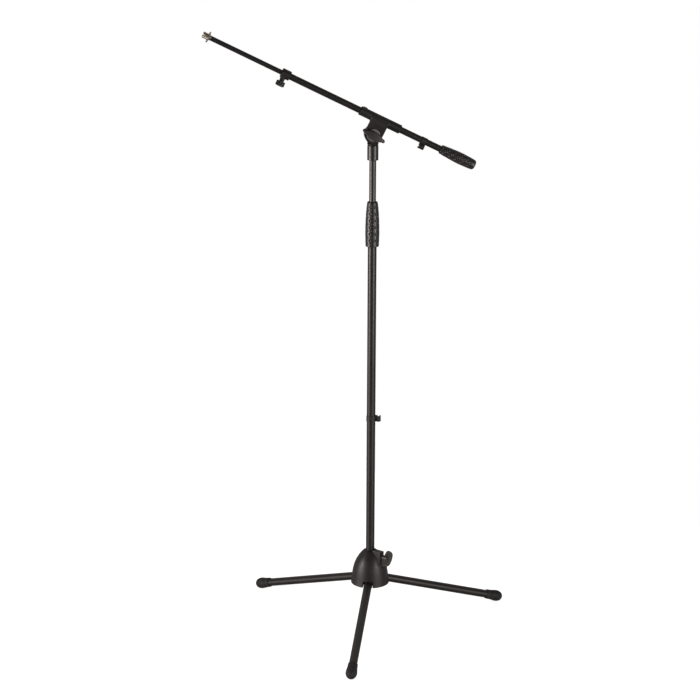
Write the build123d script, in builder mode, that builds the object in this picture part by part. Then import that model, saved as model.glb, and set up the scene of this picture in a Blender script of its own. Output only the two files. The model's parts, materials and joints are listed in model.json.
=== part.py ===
"""Boom microphone stand: bell base with three folding legs, two-part column, tilting telescopic boom.

Millimetres, +Z up, floor at Z = 0.  Every piece is its own solid in parts/.
The front of the stand is -Y; the boom climbs towards -X and its grip hangs towards +X.
"""
from build123d import *
import math
import os

os.makedirs("parts", exist_ok=True)

# ------------------------------------------------------------------ sizes
# the origin is the middle of the footprint, so the column stands a little off it
COLUMN_X = 30.5
COLUMN_Y = 70.5

RUNNING_FIT = 0.08      # radial clearance of a sliding or turning fit
MOVING_GAP = 0.3        # clearance between neighbours that move past each other

# legs
LEG_AZIMUTHS = (22.5, 142.5, 262.5)
LEG_SLOPE = 17.4        # degrees below level when open
LEG_PIN_R = 30.0        # hinge pin from the column axis
LEG_TUBE_R = 10.4
LEG_TUBE_WALL = 1.3
LEG_TUBE_START = 12.0   # along the leg, from the hinge pin
LEG_LENGTH = 368.0      # hinge pin to the tip of the rubber foot
FOOT_LENGTH = 48.0
FOOT_BULB = 18.0        # widest place of the foot, from its tip
FOOT_AXIS_Z = 14.8      # leg axis above the floor at the widest place
FOOT_POCKET = 12.0      # rubber left in front of the leg tube
PIN_R = 3.0
PIN_LENGTH = 33.0
LEG_PIN_Z = FOOT_AXIS_Z + (LEG_LENGTH - FOOT_BULB) * math.sin(math.radians(LEG_SLOPE))

# bell-shaped base housing
RIM_Z = 109.7
BELL_HEIGHT = 88.0
BUSH_HEIGHT = 91.0      # the guide bush stands a little out of the bell
HUB_R = 17.5
BORE_R = 13.0
NOTCH_WIDTH = 25.0
HINGE_WIDTH = 20.4
NOTCH_HEIGHT = 16.8
CHEEK = 4.0
BOSS_AZIMUTH = -38.0
BOSS_R = 39.0           # flat end of the clamp boss from the column axis
BOSS_WIDTH = 16.0
BOSS_LOW = 52.0         # above the rim
BOSS_HIGH = 91.0
CLAMP_Z = 186.0
CLAMP_SCREW_R = 4.0

# column
LOWER_R = 11.0
LOWER_WALL = 1.5
LOWER_TOP = 1045.0
GRIP_BOTTOM = 1004.4
GRIP_TOP = 1116.9
UPPER_R = 8.5
UPPER_WALL = 1.2
UPPER_BOTTOM = 352.0
CLIP_Z = 555.0
CLIP_WIDTH = 15.0
SOCKET_R = 13.8
SOCKET_BOTTOM = 1222.4
SOCKET_TOP = 1258.6
NECK_GROOVE = 2.4       # between the socket and the swivel neck

# boom pivot
PIVOT_Z = 1286.4
PIVOT_R = 21.8
PIVOT_HALF = 13.5       # each half of the joint reaches this far from the column axis
FRICTION_HALF = 0.8
BOLT_R = 4.0
WASHER_R = 16.0
WASHER_THICK = 2.5
KNOB_SLOPE = -31.0      # the wing knob as left by the hand, degrees from level

# boom: distances along it are measured from the point nearest the pivot, towards the tip
BOOM_TILT = 26.4
BOOM_AZIMUTH = 5.0
BOOM_OFFSET = 39.3
SLEEVE_BACK = -55.5
SLEEVE_FRONT = 55.0
SLEEVE_R = 11.25
SLEEVE_BORE_R = 9.6
OUTER_R = 8.0
OUTER_WALL = 1.2
OUTER_BACK = -255.0
OUTER_FRONT = 256.0
HANDLE_BACK = -262.5
HANDLE_FRONT = -167.5
COLLAR_BACK = 246.5
COLLAR_FRONT = 269.0
COLLAR_R = 11.75
COLLAR_SCREW_T = 261.0
COLLAR_SCREW_ROLL = 15.0  # from straight below the boom, towards the front
INNER_R = 6.0
INNER_WALL = 1.0
INNER_BACK = 60.0
INNER_FRONT = 459.5
LOCK_T = 41.5
SMALL_SCREW_R = 3.0
BOOM_CLIP_T = -120.7
STUD_SHOULDER_T = 463.0
STUD_THREAD_T = 467.6   # the thread starts past its relief, where the lock ring rests
STUD_TIP_T = 480.7
STUD_R = 7.94           # 5/8 inch microphone thread
STUD_RELIEF_R = 7.5
STUD_BORE_R = 4.76
STUD_SLOT = 3.0
RING_BACK = 464.3
RING_FRONT = 467.3
RING_R = 13.7

# ------------------------------------------------------------------ frames
UP = Vector(0, 0, 1)
COLUMN = Vector(COLUMN_X, COLUMN_Y, 0)
COLUMN_AXIS = Axis(COLUMN, UP)


def column_plane(height):
    """Level plane on the column axis."""
    return Plane(origin=COLUMN + UP * height, x_dir=(1, 0, 0), z_dir=(0, 0, 1))


def profile_plane(azimuth=0.0):
    """Upright plane through the column axis: x is the radius, y the height."""
    a = math.radians(azimuth)
    return Plane(origin=COLUMN, x_dir=(math.cos(a), math.sin(a), 0), z_dir=(math.sin(a), -math.cos(a), 0))


def radial_plane(azimuth, radius, height, slope=0.0):
    """Plane facing outwards (and down by slope) from the column: x runs round it, y up."""
    a = math.radians(azimuth)
    s = math.radians(slope)
    out = Vector(math.cos(a), math.sin(a), 0)
    side = Vector(-math.sin(a), math.cos(a), 0)
    face = out * math.cos(s) - UP * math.sin(s)
    return Plane(origin=COLUMN + out * radius + UP * height, x_dir=side, z_dir=face)


BETA = math.radians(BOOM_AZIMUTH)
THETA = math.radians(BOOM_TILT)
FRONT = Vector(math.sin(BETA), -math.cos(BETA), 0)          # pivot bolt, towards the wing knob
LEVEL = Vector(math.cos(BETA), math.sin(BETA), 0)           # level, towards the boom's grip
PIVOT = COLUMN + UP * PIVOT_Z
TOWARDS_TIP = LEVEL * -math.cos(THETA) + UP * math.sin(THETA)
ABOVE_BOOM = LEVEL * math.sin(THETA) + UP * math.cos(THETA)
BOOM_FOOT = PIVOT + ABOVE_BOOM * BOOM_OFFSET
BOOM_AXIS = Axis(BOOM_FOOT, TOWARDS_TIP)


def pivot_plane(depth):
    """Plane across the pivot bolt: x level towards the grip, y up, z to the front."""
    return Plane(origin=PIVOT + FRONT * depth, x_dir=LEVEL, z_dir=FRONT)


def boom_plane(t):
    """Plane across the boom: x to the front, y away from the pivot, z towards the tip."""
    return Plane(origin=BOOM_FOOT + TOWARDS_TIP * t, x_dir=FRONT, z_dir=TOWARDS_TIP)


def boom_profile_plane():
    """Plane through the boom axis: x is the radius, y the distance towards the tip."""
    return Plane(origin=BOOM_FOOT, x_dir=ABOVE_BOOM, z_dir=ABOVE_BOOM.cross(TOWARDS_TIP))


def boom_side_plane(t, roll, radius):
    """Plane facing out of the boom: roll 0 is straight below it, 90 to the front, 270 to the back."""
    r = math.radians(roll)
    out = ABOVE_BOOM * -math.cos(r) + FRONT * math.sin(r)
    return Plane(origin=BOOM_FOOT + TOWARDS_TIP * t + out * radius, x_dir=TOWARDS_TIP, z_dir=out)


def turned_plane(plane, angle):
    """The same plane with its x direction turned anticlockwise about its own normal."""
    a = math.radians(angle)
    x_dir = plane.x_dir * math.cos(a) + plane.y_dir * math.sin(a)
    return Plane(origin=plane.origin, x_dir=x_dir, z_dir=plane.z_dir)


def rod(plane, outer, inner, length):
    """A rod, or a tube when inner is not zero, standing on a plane."""
    with BuildPart() as made:
        with BuildSketch(plane):
            Circle(outer)
            if inner > 0:
                Circle(inner, mode=Mode.SUBTRACT)
        extrude(amount=length)
    return made


def turned(plane, points, axis):
    """A closed outline of (radius, height) corners turned round an axis."""
    with BuildPart() as made:
        with BuildSketch(plane):
            with BuildLine():
                Polyline(*points, close=True)
            make_face()
        revolve(axis=axis)
    return made


# ------------------------------------------------------------------ base housing
with BuildPart() as bell_cavity:
    with BuildSketch(profile_plane()):
        with BuildLine():
            Polyline(
                (HUB_R, RIM_Z - 1),
                (45.4, RIM_Z - 1),
                (44.2, RIM_Z + 8),
                (42.2, RIM_Z + 26),
                (38.9, RIM_Z + 44),
                (32.3, RIM_Z + 60),
                (22.0, RIM_Z + 72),
                (HUB_R, RIM_Z + 72),
                close=True,
            )
        make_face()
    revolve(axis=COLUMN_AXIS)
    # the cheeks that carry the hinge pins stay standing in the cavity
    for azimuth in LEG_AZIMUTHS:
        for side in (-1, 1):
            with BuildSketch(radial_plane(azimuth, 12, RIM_Z)):
                with Locations((side * (NOTCH_WIDTH + CHEEK) / 2, 18)):
                    Rectangle(CHEEK, 36)
            extrude(amount=40, mode=Mode.SUBTRACT)

with BuildPart() as base_housing:
    with BuildSketch(profile_plane()):
        with BuildLine():
            Line((0, RIM_Z), (49.4, RIM_Z))
            Spline(
                (49.4, RIM_Z),
                (48.2, RIM_Z + 8),
                (46.2, RIM_Z + 26),
                (42.9, RIM_Z + 44),
                (36.4, RIM_Z + 61.5),
                (25.0, RIM_Z + 79.5),
                (17.4, RIM_Z + BELL_HEIGHT),
            )
            Line((17.4, RIM_Z + BELL_HEIGHT), (0, RIM_Z + BELL_HEIGHT))
            Line((0, RIM_Z + BELL_HEIGHT), (0, RIM_Z))
        make_face()
    revolve(axis=COLUMN_AXIS)
    fillet(base_housing.edges().filter_by(GeomType.CIRCLE).sort_by(Axis.Z)[0], radius=1.5)
    # clamp boss on the neck of the bell
    with BuildSketch(radial_plane(BOSS_AZIMUTH, 13.5, RIM_Z + (BOSS_LOW + BOSS_HIGH) / 2)):
        RectangleRounded(BOSS_WIDTH, BOSS_HIGH - BOSS_LOW, 3)
    extrude(amount=BOSS_R - 13.5)
    add(bell_cavity.part, mode=Mode.SUBTRACT)
    # bore of the column, with the guide bush's seat
    with BuildSketch(column_plane(RIM_Z - 1)):
        Circle(BORE_R)
    extrude(amount=BELL_HEIGHT + 6, mode=Mode.SUBTRACT)
    # bottom-open notches for the legs and the holes of their pins
    for azimuth in LEG_AZIMUTHS:
        with BuildSketch(radial_plane(azimuth, 38, RIM_Z + NOTCH_HEIGHT - 15)):
            RectangleRounded(NOTCH_WIDTH, 30, 4)
        extrude(amount=15, mode=Mode.SUBTRACT)
        with BuildSketch(profile_plane(azimuth).offset(-PIN_LENGTH / 2)):
            with Locations((LEG_PIN_R, LEG_PIN_Z)):
                Circle(PIN_R)
        extrude(amount=PIN_LENGTH, mode=Mode.SUBTRACT)
    # stepped hole of the clamp screw
    with BuildSketch(radial_plane(BOSS_AZIMUTH, 8, CLAMP_Z)):
        Circle(CLAMP_SCREW_R + MOVING_GAP)
    extrude(amount=BOSS_R, mode=Mode.SUBTRACT)
    with BuildSketch(radial_plane(BOSS_AZIMUTH, BOSS_R - 13, CLAMP_Z)):
        Circle(6.0)
    extrude(amount=15, mode=Mode.SUBTRACT)
base_housing.part.label = "base_housing"
export_step(base_housing.part, "parts/base_housing.step")

# plastic liner the column slides in
with BuildPart() as base_guide_bush:
    with BuildSketch(column_plane(RIM_Z + 2)):
        Circle(BORE_R)
        Circle(LOWER_R + RUNNING_FIT, mode=Mode.SUBTRACT)
    extrude(amount=BUSH_HEIGHT - 2)
    with BuildSketch(radial_plane(BOSS_AZIMUTH, 8, CLAMP_Z)):
        Circle(CLAMP_SCREW_R + MOVING_GAP)
    extrude(amount=8, mode=Mode.SUBTRACT)
base_guide_bush.part.label = "base_guide_bush"
export_step(base_guide_bush.part, "parts/base_guide_bush.step")

# clamp: threaded insert, pressure pad, wing screw
base_clamp_insert = rod(
    radial_plane(BOSS_AZIMUTH, BOSS_R - 13, CLAMP_Z), 6.0, CLAMP_SCREW_R + RUNNING_FIT, 12.6
)
base_clamp_insert.part.label = "base_clamp_insert"
export_step(base_clamp_insert.part, "parts/base_clamp_insert.step")

with BuildPart() as base_clamp_pad:
    with BuildSketch(radial_plane(BOSS_AZIMUTH, 9, CLAMP_Z)):
        Circle(CLAMP_SCREW_R)
    extrude(amount=6)
    with BuildSketch(column_plane(CLAMP_Z - 10)):
        Circle(LOWER_R + RUNNING_FIT)
    extrude(amount=20, mode=Mode.SUBTRACT)
base_clamp_pad.part.label = "base_clamp_pad"
export_step(base_clamp_pad.part, "parts/base_clamp_pad.step")

base_clamp_screw = rod(radial_plane(BOSS_AZIMUTH, 15.3, CLAMP_Z), CLAMP_SCREW_R, 0, 38.7)
base_clamp_screw.part.label = "base_clamp_screw"
export_step(base_clamp_screw.part, "parts/base_clamp_screw.step")

with BuildPart() as base_wing_knob:
    with BuildSketch(radial_plane(BOSS_AZIMUTH, BOSS_R + 2.4, CLAMP_Z)):
        Circle(6.6)
    extrude(amount=16)
    # half-moon wing standing in a plane through the screw, turned a little from upright
    wing_base = radial_plane(BOSS_AZIMUTH, BOSS_R + 6, CLAMP_Z)
    lean = math.radians(30)
    wing_x = (wing_base.x_dir * math.sin(lean) + UP * math.cos(lean)).normalized()
    wing_plane = Plane(origin=wing_base.origin, x_dir=wing_x, z_dir=wing_x.cross(wing_base.z_dir))
    half_outline = [(6, 0.6), (12, 1.2), (17, 2.8), (20.2, 5.8), (20.8, 10.5), (19.4, 15.7), (15.2, 21.2),
                    (7.5, 23.2)]
    with BuildSketch(wing_plane.offset(-3.4)):
        with BuildLine():
            Polyline(*half_outline, (0, 23.8), *[(-x, y) for x, y in reversed(half_outline)], close=True)
        make_face()
        fillet(vertices(), radius=1.0)
    extrude(amount=6.8)
    with BuildSketch(radial_plane(BOSS_AZIMUTH, BOSS_R + 1, CLAMP_Z)):
        Circle(CLAMP_SCREW_R)
    extrude(amount=14, mode=Mode.SUBTRACT)
base_wing_knob.part.label = "base_wing_knob"
export_step(base_wing_knob.part, "parts/base_wing_knob.step")

# ------------------------------------------------------------------ legs
for number, azimuth in enumerate(LEG_AZIMUTHS, start=1):
    pin_side = profile_plane(azimuth)
    leg_start = radial_plane(azimuth, LEG_PIN_R, LEG_PIN_Z, LEG_SLOPE)

    with BuildPart() as leg_pin:
        with BuildSketch(pin_side.offset(-PIN_LENGTH / 2)):
            with Locations((LEG_PIN_R, LEG_PIN_Z)):
                Circle(PIN_R)
        extrude(amount=PIN_LENGTH)
    leg_pin.part.label = f"leg_pin_{number}"
    export_step(leg_pin.part, f"parts/leg_pin_{number}.step")

    # hinge block: an eye on the pin, a shoulder against the tube and a spigot inside it
    with BuildPart() as leg_hinge:
        with BuildSketch(pin_side.offset(-HINGE_WIDTH / 2)):
            with Locations((LEG_PIN_R, LEG_PIN_Z)):
                Circle(10.0)
        extrude(amount=HINGE_WIDTH)
        with BuildSketch(pin_side.offset(-NOTCH_WIDTH / 2 + MOVING_GAP)):
            with Locations((LEG_PIN_R, LEG_PIN_Z)):
                Circle(6.5)
        extrude(amount=NOTCH_WIDTH - 2 * MOVING_GAP)
        with BuildSketch(leg_start):
            Rectangle(HINGE_WIDTH, 20)
        extrude(amount=LEG_TUBE_START)
        with BuildSketch(leg_start):
            Circle(LEG_TUBE_R - LEG_TUBE_WALL)
        extrude(amount=LEG_TUBE_START + 30)
        with BuildSketch(pin_side.offset(-20)):
            with Locations((LEG_PIN_R, LEG_PIN_Z)):
                Circle(PIN_R + RUNNING_FIT)
        extrude(amount=40, mode=Mode.SUBTRACT)
    leg_hinge.part.label = f"leg_hinge_{number}"
    export_step(leg_hinge.part, f"parts/leg_hinge_{number}.step")

    leg_tube = rod(
        leg_start.offset(LEG_TUBE_START),
        LEG_TUBE_R,
        LEG_TUBE_R - LEG_TUBE_WALL,
        LEG_LENGTH - FOOT_POCKET - LEG_TUBE_START,
    )
    leg_tube.part.label = f"leg_tube_{number}"
    export_step(leg_tube.part, f"parts/leg_tube_{number}.step")

    # rubber foot: a bulb with a grooved collar, worn flat where it meets the floor
    along = leg_start.z_dir
    tip = leg_start.origin + along * LEG_LENGTH
    foot_plane = Plane(origin=tip, x_dir=leg_start.x_dir, z_dir=along.cross(leg_start.x_dir) * -1)
    with BuildPart() as rubber_foot:
        with BuildSketch(foot_plane):
            with BuildLine():
                Spline((0, 0), (6.6, -1.4), (10.4, -4.6), (13.0, -9.5), (14.2, -14), (14.5, -18),
                       (14.1, -24), (13.3, -30), (12.7, -35), tangents=((1, 0), (-0.1, -1)))
                Polyline((12.7, -35), (11.9, -35.8), (11.9, -37.4), (12.6, -38.2), (12.3, -FOOT_LENGTH),
                         (0, -FOOT_LENGTH), (0, 0))
            make_face()
        revolve(axis=Axis(tip, along))
        with BuildSketch(leg_start.offset(LEG_LENGTH - FOOT_POCKET)):
            Circle(LEG_TUBE_R)
        extrude(amount=-FOOT_LENGTH, mode=Mode.SUBTRACT)
        with BuildSketch(Plane(origin=(tip.X, tip.Y, -10), z_dir=(0, 0, 1))):
            Rectangle(120, 120)
        extrude(amount=10, mode=Mode.SUBTRACT)
    rubber_foot.part.label = f"rubber_foot_{number}"
    export_step(rubber_foot.part, f"parts/rubber_foot_{number}.step")

# ------------------------------------------------------------------ column
LOWER_BOTTOM = RIM_Z - MOVING_GAP
lower_tube = rod(column_plane(LOWER_BOTTOM), LOWER_R, LOWER_R - LOWER_WALL, LOWER_TOP - LOWER_BOTTOM)
lower_tube.part.label = "lower_tube"
export_step(lower_tube.part, "parts/lower_tube.step")

# end plug whose flange stops against the bush
lower_tube_plug = turned(
    profile_plane(),
    [
        (0, LOWER_BOTTOM - 3),
        (11.8, LOWER_BOTTOM - 3),
        (12.6, LOWER_BOTTOM - 2.2),
        (12.6, LOWER_BOTTOM),
        (LOWER_R - LOWER_WALL, LOWER_BOTTOM),
        (LOWER_R - LOWER_WALL, LOWER_BOTTOM + 15),
        (0, LOWER_BOTTOM + 15),
    ],
    COLUMN_AXIS,
)
lower_tube_plug.part.label = "lower_tube_plug"
export_step(lower_tube_plug.part, "parts/lower_tube_plug.step")

# height clutch: a threaded body on the tube, a slotted collet and the twist grip round both
clutch_body = turned(
    profile_plane(),
    [
        (LOWER_R, GRIP_BOTTOM + 3),
        (13.2, GRIP_BOTTOM + 3),
        (13.2, LOWER_TOP + 12),
        (UPPER_R + MOVING_GAP, LOWER_TOP + 12),
        (UPPER_R + MOVING_GAP, LOWER_TOP),
        (LOWER_R, LOWER_TOP),
    ],
    COLUMN_AXIS,
)
clutch_body.part.label = "clutch_body"
export_step(clutch_body.part, "parts/clutch_body.step")

COLLET_BOTTOM = LOWER_TOP + 12
COLLET_TOP = GRIP_TOP - 8
with BuildPart() as clutch_collet:
    with BuildSketch(profile_plane()):
        with BuildLine():
            Polyline(
                (UPPER_R + RUNNING_FIT, COLLET_BOTTOM),
                (12.8, COLLET_BOTTOM),
                (12.8, COLLET_BOTTOM + 6),
                (10.9, COLLET_TOP),
                (UPPER_R + RUNNING_FIT, COLLET_TOP),
                close=True,
            )
        make_face()
    revolve(axis=COLUMN_AXIS)
    with BuildSketch(column_plane(COLLET_BOTTOM + 10)):
        Rectangle(40, 1.6)
        Rectangle(1.6, 40)
    extrude(amount=60, mode=Mode.SUBTRACT)
clutch_collet.part.label = "clutch_collet"
export_step(clutch_collet.part, "parts/clutch_collet.step")

with BuildPart() as clutch_grip:
    with BuildSketch(profile_plane()):
        with BuildLine():
            Polyline(
                (13.1, COLLET_BOTTOM + 3),
                (13.5, COLLET_BOTTOM + 1),
                (13.5, GRIP_BOTTOM),
                (15.9, GRIP_BOTTOM),
                (16.8, GRIP_BOTTOM + 1.2),
            )
            Spline(
                (16.8, GRIP_BOTTOM + 1.2),
                (17.2, GRIP_BOTTOM + 16),
                (17.6, GRIP_BOTTOM + 33),
                (17.4, GRIP_BOTTOM + 50),
                (16.9, GRIP_BOTTOM + 67),
                (16.1, GRIP_BOTTOM + 82),
                (14.9, GRIP_BOTTOM + 97),
                (13.1, GRIP_TOP - 1.2),
            )
            Polyline(
                (13.1, GRIP_TOP - 1.2),
                (12.3, GRIP_TOP),
                (10.6, GRIP_TOP),
                (10.6, GRIP_TOP - 6),
                (11.2, GRIP_TOP - 8),
                (13.1, COLLET_BOTTOM + 6.5),
                (13.1, COLLET_BOTTOM + 3),
            )
        make_face()
    revolve(axis=COLUMN_AXIS)
clutch_grip.part.label = "clutch_grip"
export_step(clutch_grip.part, "parts/clutch_grip.step")

upper_tube = rod(column_plane(UPPER_BOTTOM), UPPER_R, UPPER_R - UPPER_WALL, SOCKET_TOP - 4 - UPPER_BOTTOM)
upper_tube.part.label = "upper_tube"
export_step(upper_tube.part, "parts/upper_tube.step")

GUIDE_R = LOWER_R - LOWER_WALL - RUNNING_FIT
upper_tube_bush = turned(
    profile_plane(),
    [
        (5, UPPER_BOTTOM - 6),
        (GUIDE_R, UPPER_BOTTOM - 6),
        (GUIDE_R, UPPER_BOTTOM + 34),
        (UPPER_R + 0.05, UPPER_BOTTOM + 34),
        (UPPER_R + 0.05, UPPER_BOTTOM - 0.3),
        (5, UPPER_BOTTOM - 0.3),
    ],
    COLUMN_AXIS,
)
upper_tube_bush.part.label = "upper_tube_bush"
export_step(upper_tube_bush.part, "parts/upper_tube_bush.step")


def cable_clip(plane, tube_r, hook_angle, mouth_side):
    """A spring clip round a tube with an open hook for the cable, drawn across the tube."""
    ring_r = tube_r + 1.9
    hook_r = 6.3
    hook_x = tube_r + 1.2 + hook_r
    with BuildPart() as made:
        with BuildSketch(turned_plane(plane, hook_angle)):
            Circle(ring_r)
            with Locations((hook_x, 0)):
                Circle(hook_r)
            with Locations((tube_r + 1.5, 0)):
                Rectangle(3.2, 5.0)
            Circle(tube_r + RUNNING_FIT, mode=Mode.SUBTRACT)
            with Locations((hook_x, 0)):
                Circle(4.3, mode=Mode.SUBTRACT)
            # mouth of the hook, and the gap the clip snaps on by
            with Locations((hook_x + 0.4, 4 * mouth_side)):
                Rectangle(4.6, 8, mode=Mode.SUBTRACT)
            with Locations((-ring_r, 0)):
                Rectangle(ring_r, 0.9 * tube_r, mode=Mode.SUBTRACT)
        extrude(amount=CLIP_WIDTH)
    return made


column_cable_clip = cable_clip(column_plane(CLIP_Z - CLIP_WIDTH / 2), LOWER_R, -4.0, 1)
column_cable_clip.part.label = "column_cable_clip"
export_step(column_cable_clip.part, "parts/column_cable_clip.step")

# ------------------------------------------------------------------ head
with BuildPart() as head_socket:
    with BuildSketch(column_plane(SOCKET_BOTTOM)):
        Circle(SOCKET_R)
    extrude(amount=SOCKET_TOP - SOCKET_BOTTOM)
    fillet(head_socket.edges().filter_by(GeomType.CIRCLE).group_by(Axis.Z)[0], radius=0.8)
    with BuildSketch(column_plane(SOCKET_BOTTOM)):
        Circle(UPPER_R)
    extrude(amount=SOCKET_TOP - 4 - SOCKET_BOTTOM, mode=Mode.SUBTRACT)
    with BuildSketch(column_plane(SOCKET_TOP)):
        Circle(4.75)
    extrude(amount=-6, mode=Mode.SUBTRACT)
head_socket.part.label = "head_socket"
export_step(head_socket.part, "parts/head_socket.step")

head_stud = rod(column_plane(SOCKET_TOP - 20), 4.75, 0, 24)
head_stud.part.label = "head_stud"
export_step(head_stud.part, "parts/head_stud.step")

NECK_TOP = PIVOT_Z - PIVOT_R - 0.4
with BuildPart() as swivel_neck:
    with BuildSketch(column_plane(SOCKET_TOP)):
        Circle(11.5)
    extrude(amount=NECK_GROOVE)
    with BuildSketch(column_plane(SOCKET_TOP + NECK_GROOVE)):
        Circle(SOCKET_R)
    extrude(amount=NECK_TOP - SOCKET_TOP - NECK_GROOVE)
    # behind the friction face the neck runs on up into the round half of the pivot
    neck_frame = Plane(origin=COLUMN + UP * (NECK_TOP - 1), x_dir=LEVEL, z_dir=UP)
    with BuildSketch(neck_frame):
        Circle(SOCKET_R)
        with Locations((0, -20 - FRICTION_HALF)):
            Rectangle(60, 40, mode=Mode.SUBTRACT)
        with Locations((0, -FRICTION_HALF)):
            Rectangle(60, 4 * FRICTION_HALF, mode=Mode.SUBTRACT)
    extrude(amount=16)
    with BuildSketch(pivot_plane(-PIVOT_HALF)):
        Circle(PIVOT_R)
    extrude(amount=PIVOT_HALF - FRICTION_HALF)
    with BuildSketch(pivot_plane(-PIVOT_HALF)):
        Circle(BOLT_R)
    extrude(amount=2 * PIVOT_HALF, mode=Mode.SUBTRACT)
    with BuildSketch(column_plane(SOCKET_TOP)):
        Circle(4.75)
    extrude(amount=4, mode=Mode.SUBTRACT)
swivel_neck.part.label = "swivel_neck"
export_step(swivel_neck.part, "parts/swivel_neck.step")

friction_disc = rod(pivot_plane(-FRICTION_HALF), 17.5, BOLT_R, 2 * FRICTION_HALF - 0.05)
friction_disc.part.label = "friction_disc"
export_step(friction_disc.part, "parts/friction_disc.step")

with BuildPart() as pivot_bolt:
    with BuildSketch(pivot_plane(-PIVOT_HALF - 5.3)):
        RegularPolygon(7.5, 6)
    extrude(amount=5.3)
    with BuildSketch(pivot_plane(-PIVOT_HALF)):
        Circle(BOLT_R)
    extrude(amount=PIVOT_HALF + 29.2)
pivot_bolt.part.label = "pivot_bolt"
export_step(pivot_bolt.part, "parts/pivot_bolt.step")

WASHER_FACE = PIVOT_HALF + WASHER_THICK
pivot_washer = rod(pivot_plane(PIVOT_HALF), WASHER_R, BOLT_R + RUNNING_FIT, WASHER_THICK)
pivot_washer.part.label = "pivot_washer"
export_step(pivot_washer.part, "parts/pivot_washer.step")

# wing knob: lens-shaped across the bolt, with a round lobe at each end
KNOB_BACK = WASHER_FACE + MOVING_GAP
with BuildPart() as pivot_wing_knob:
    with BuildSketch(pivot_plane(KNOB_BACK)):
        Circle(9.4)
    extrude(amount=6)
    with BuildSketch(turned_plane(pivot_plane(KNOB_BACK + 3), KNOB_SLOPE)):
        with BuildLine():
            ThreePointArc((-27, 2.2), (0, 10.8), (27, 2.2))
            Line((27, 2.2), (27, -2.2))
            ThreePointArc((27, -2.2), (0, -10.8), (-27, -2.2))
            Line((-27, -2.2), (-27, 2.2))
        make_face()
        with Locations((-26.4, 0), (26.4, 0)):
            Circle(4.5)
    extrude(amount=14, taper=3)
    with BuildSketch(pivot_plane(KNOB_BACK)):
        Circle(6.5)
    extrude(amount=13.6, mode=Mode.SUBTRACT)
pivot_wing_knob.part.label = "pivot_wing_knob"
export_step(pivot_wing_knob.part, "parts/pivot_wing_knob.step")

pivot_knob_insert = rod(pivot_plane(KNOB_BACK), 6.5, BOLT_R + RUNNING_FIT, 13.2)
pivot_knob_insert.part.label = "pivot_knob_insert"
export_step(pivot_knob_insert.part, "parts/pivot_knob_insert.step")

# ------------------------------------------------------------------ boom holder
with BuildPart() as boom_yoke:
    with BuildSketch(boom_plane(SLEEVE_BACK)):
        Circle(SLEEVE_R)
    extrude(amount=SLEEVE_FRONT - SLEEVE_BACK)
    fillet(boom_yoke.edges().filter_by(GeomType.CIRCLE), radius=1.0)
    # the tongue comes down square to the boom and ends in the round face of the pivot
    tongue = Plane(origin=PIVOT + FRONT * FRICTION_HALF, x_dir=TOWARDS_TIP * -1, z_dir=FRONT)
    with BuildSketch(tongue):
        Circle(PIVOT_R)
        with Locations((0, BOOM_OFFSET / 2)):
            Rectangle(2 * PIVOT_R + 0.8, BOOM_OFFSET)
    extrude(amount=PIVOT_HALF - FRICTION_HALF)
    # web that carries the tongue back under the sleeve
    with BuildSketch(boom_plane(-PIVOT_R - 0.4)):
        with BuildLine():
            Polyline((-9.5, 0), (-9.5, -7), (FRICTION_HALF, -15.2), (PIVOT_HALF, -15.2), (PIVOT_HALF, -2),
                     (8, 6), close=True)
        make_face()
    extrude(amount=2 * PIVOT_R + 0.8)
    # boss of the locking screw, at the back near the front end of the sleeve
    with BuildSketch(boom_side_plane(LOCK_T, 270, 9.8)):
        Circle(6.8)
    extrude(amount=5.7)
    with BuildSketch(boom_plane(SLEEVE_BACK - 1)):
        Circle(SLEEVE_BORE_R)
    extrude(amount=SLEEVE_FRONT - SLEEVE_BACK + 2, mode=Mode.SUBTRACT)
    with BuildSketch(boom_side_plane(LOCK_T, 270, 7)):
        Circle(SMALL_SCREW_R + MOVING_GAP)
    extrude(amount=10, mode=Mode.SUBTRACT)
    with BuildSketch(boom_side_plane(LOCK_T, 270, 11.7)):
        Circle(5.0)
    extrude(amount=5, mode=Mode.SUBTRACT)
    with BuildSketch(pivot_plane(0)):
        Circle(BOLT_R + RUNNING_FIT)
    extrude(amount=2 * PIVOT_HALF, mode=Mode.SUBTRACT)
boom_yoke.part.label = "boom_yoke"
export_step(boom_yoke.part, "parts/boom_yoke.step")

# split liner between the sleeve and the boom
with BuildPart() as boom_sleeve_liner:
    with BuildSketch(boom_plane(SLEEVE_BACK + 1)):
        Circle(SLEEVE_BORE_R - 0.05)
        Circle(OUTER_R + RUNNING_FIT, mode=Mode.SUBTRACT)
        with Locations((0, -SLEEVE_BORE_R)):
            Rectangle(1.5, 6, mode=Mode.SUBTRACT)
    extrude(amount=SLEEVE_FRONT - SLEEVE_BACK - 2)
boom_sleeve_liner.part.label = "boom_sleeve_liner"
export_step(boom_sleeve_liner.part, "parts/boom_sleeve_liner.step")

boom_lock_insert = rod(boom_side_plane(LOCK_T, 270, 11.7), 5.0, SMALL_SCREW_R + RUNNING_FIT, 3.8)
boom_lock_insert.part.label = "boom_lock_insert"
export_step(boom_lock_insert.part, "parts/boom_lock_insert.step")

boom_lock_pad = rod(boom_side_plane(LOCK_T, 270, 9.65), SMALL_SCREW_R, 0, 1.6)
boom_lock_pad.part.label = "boom_lock_pad"
export_step(boom_lock_pad.part, "parts/boom_lock_pad.step")

boom_lock_screw = rod(boom_side_plane(LOCK_T, 270, 11.5), SMALL_SCREW_R, 0, 12)
boom_lock_screw.part.label = "boom_lock_screw"
export_step(boom_lock_screw.part, "parts/boom_lock_screw.step")


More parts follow.
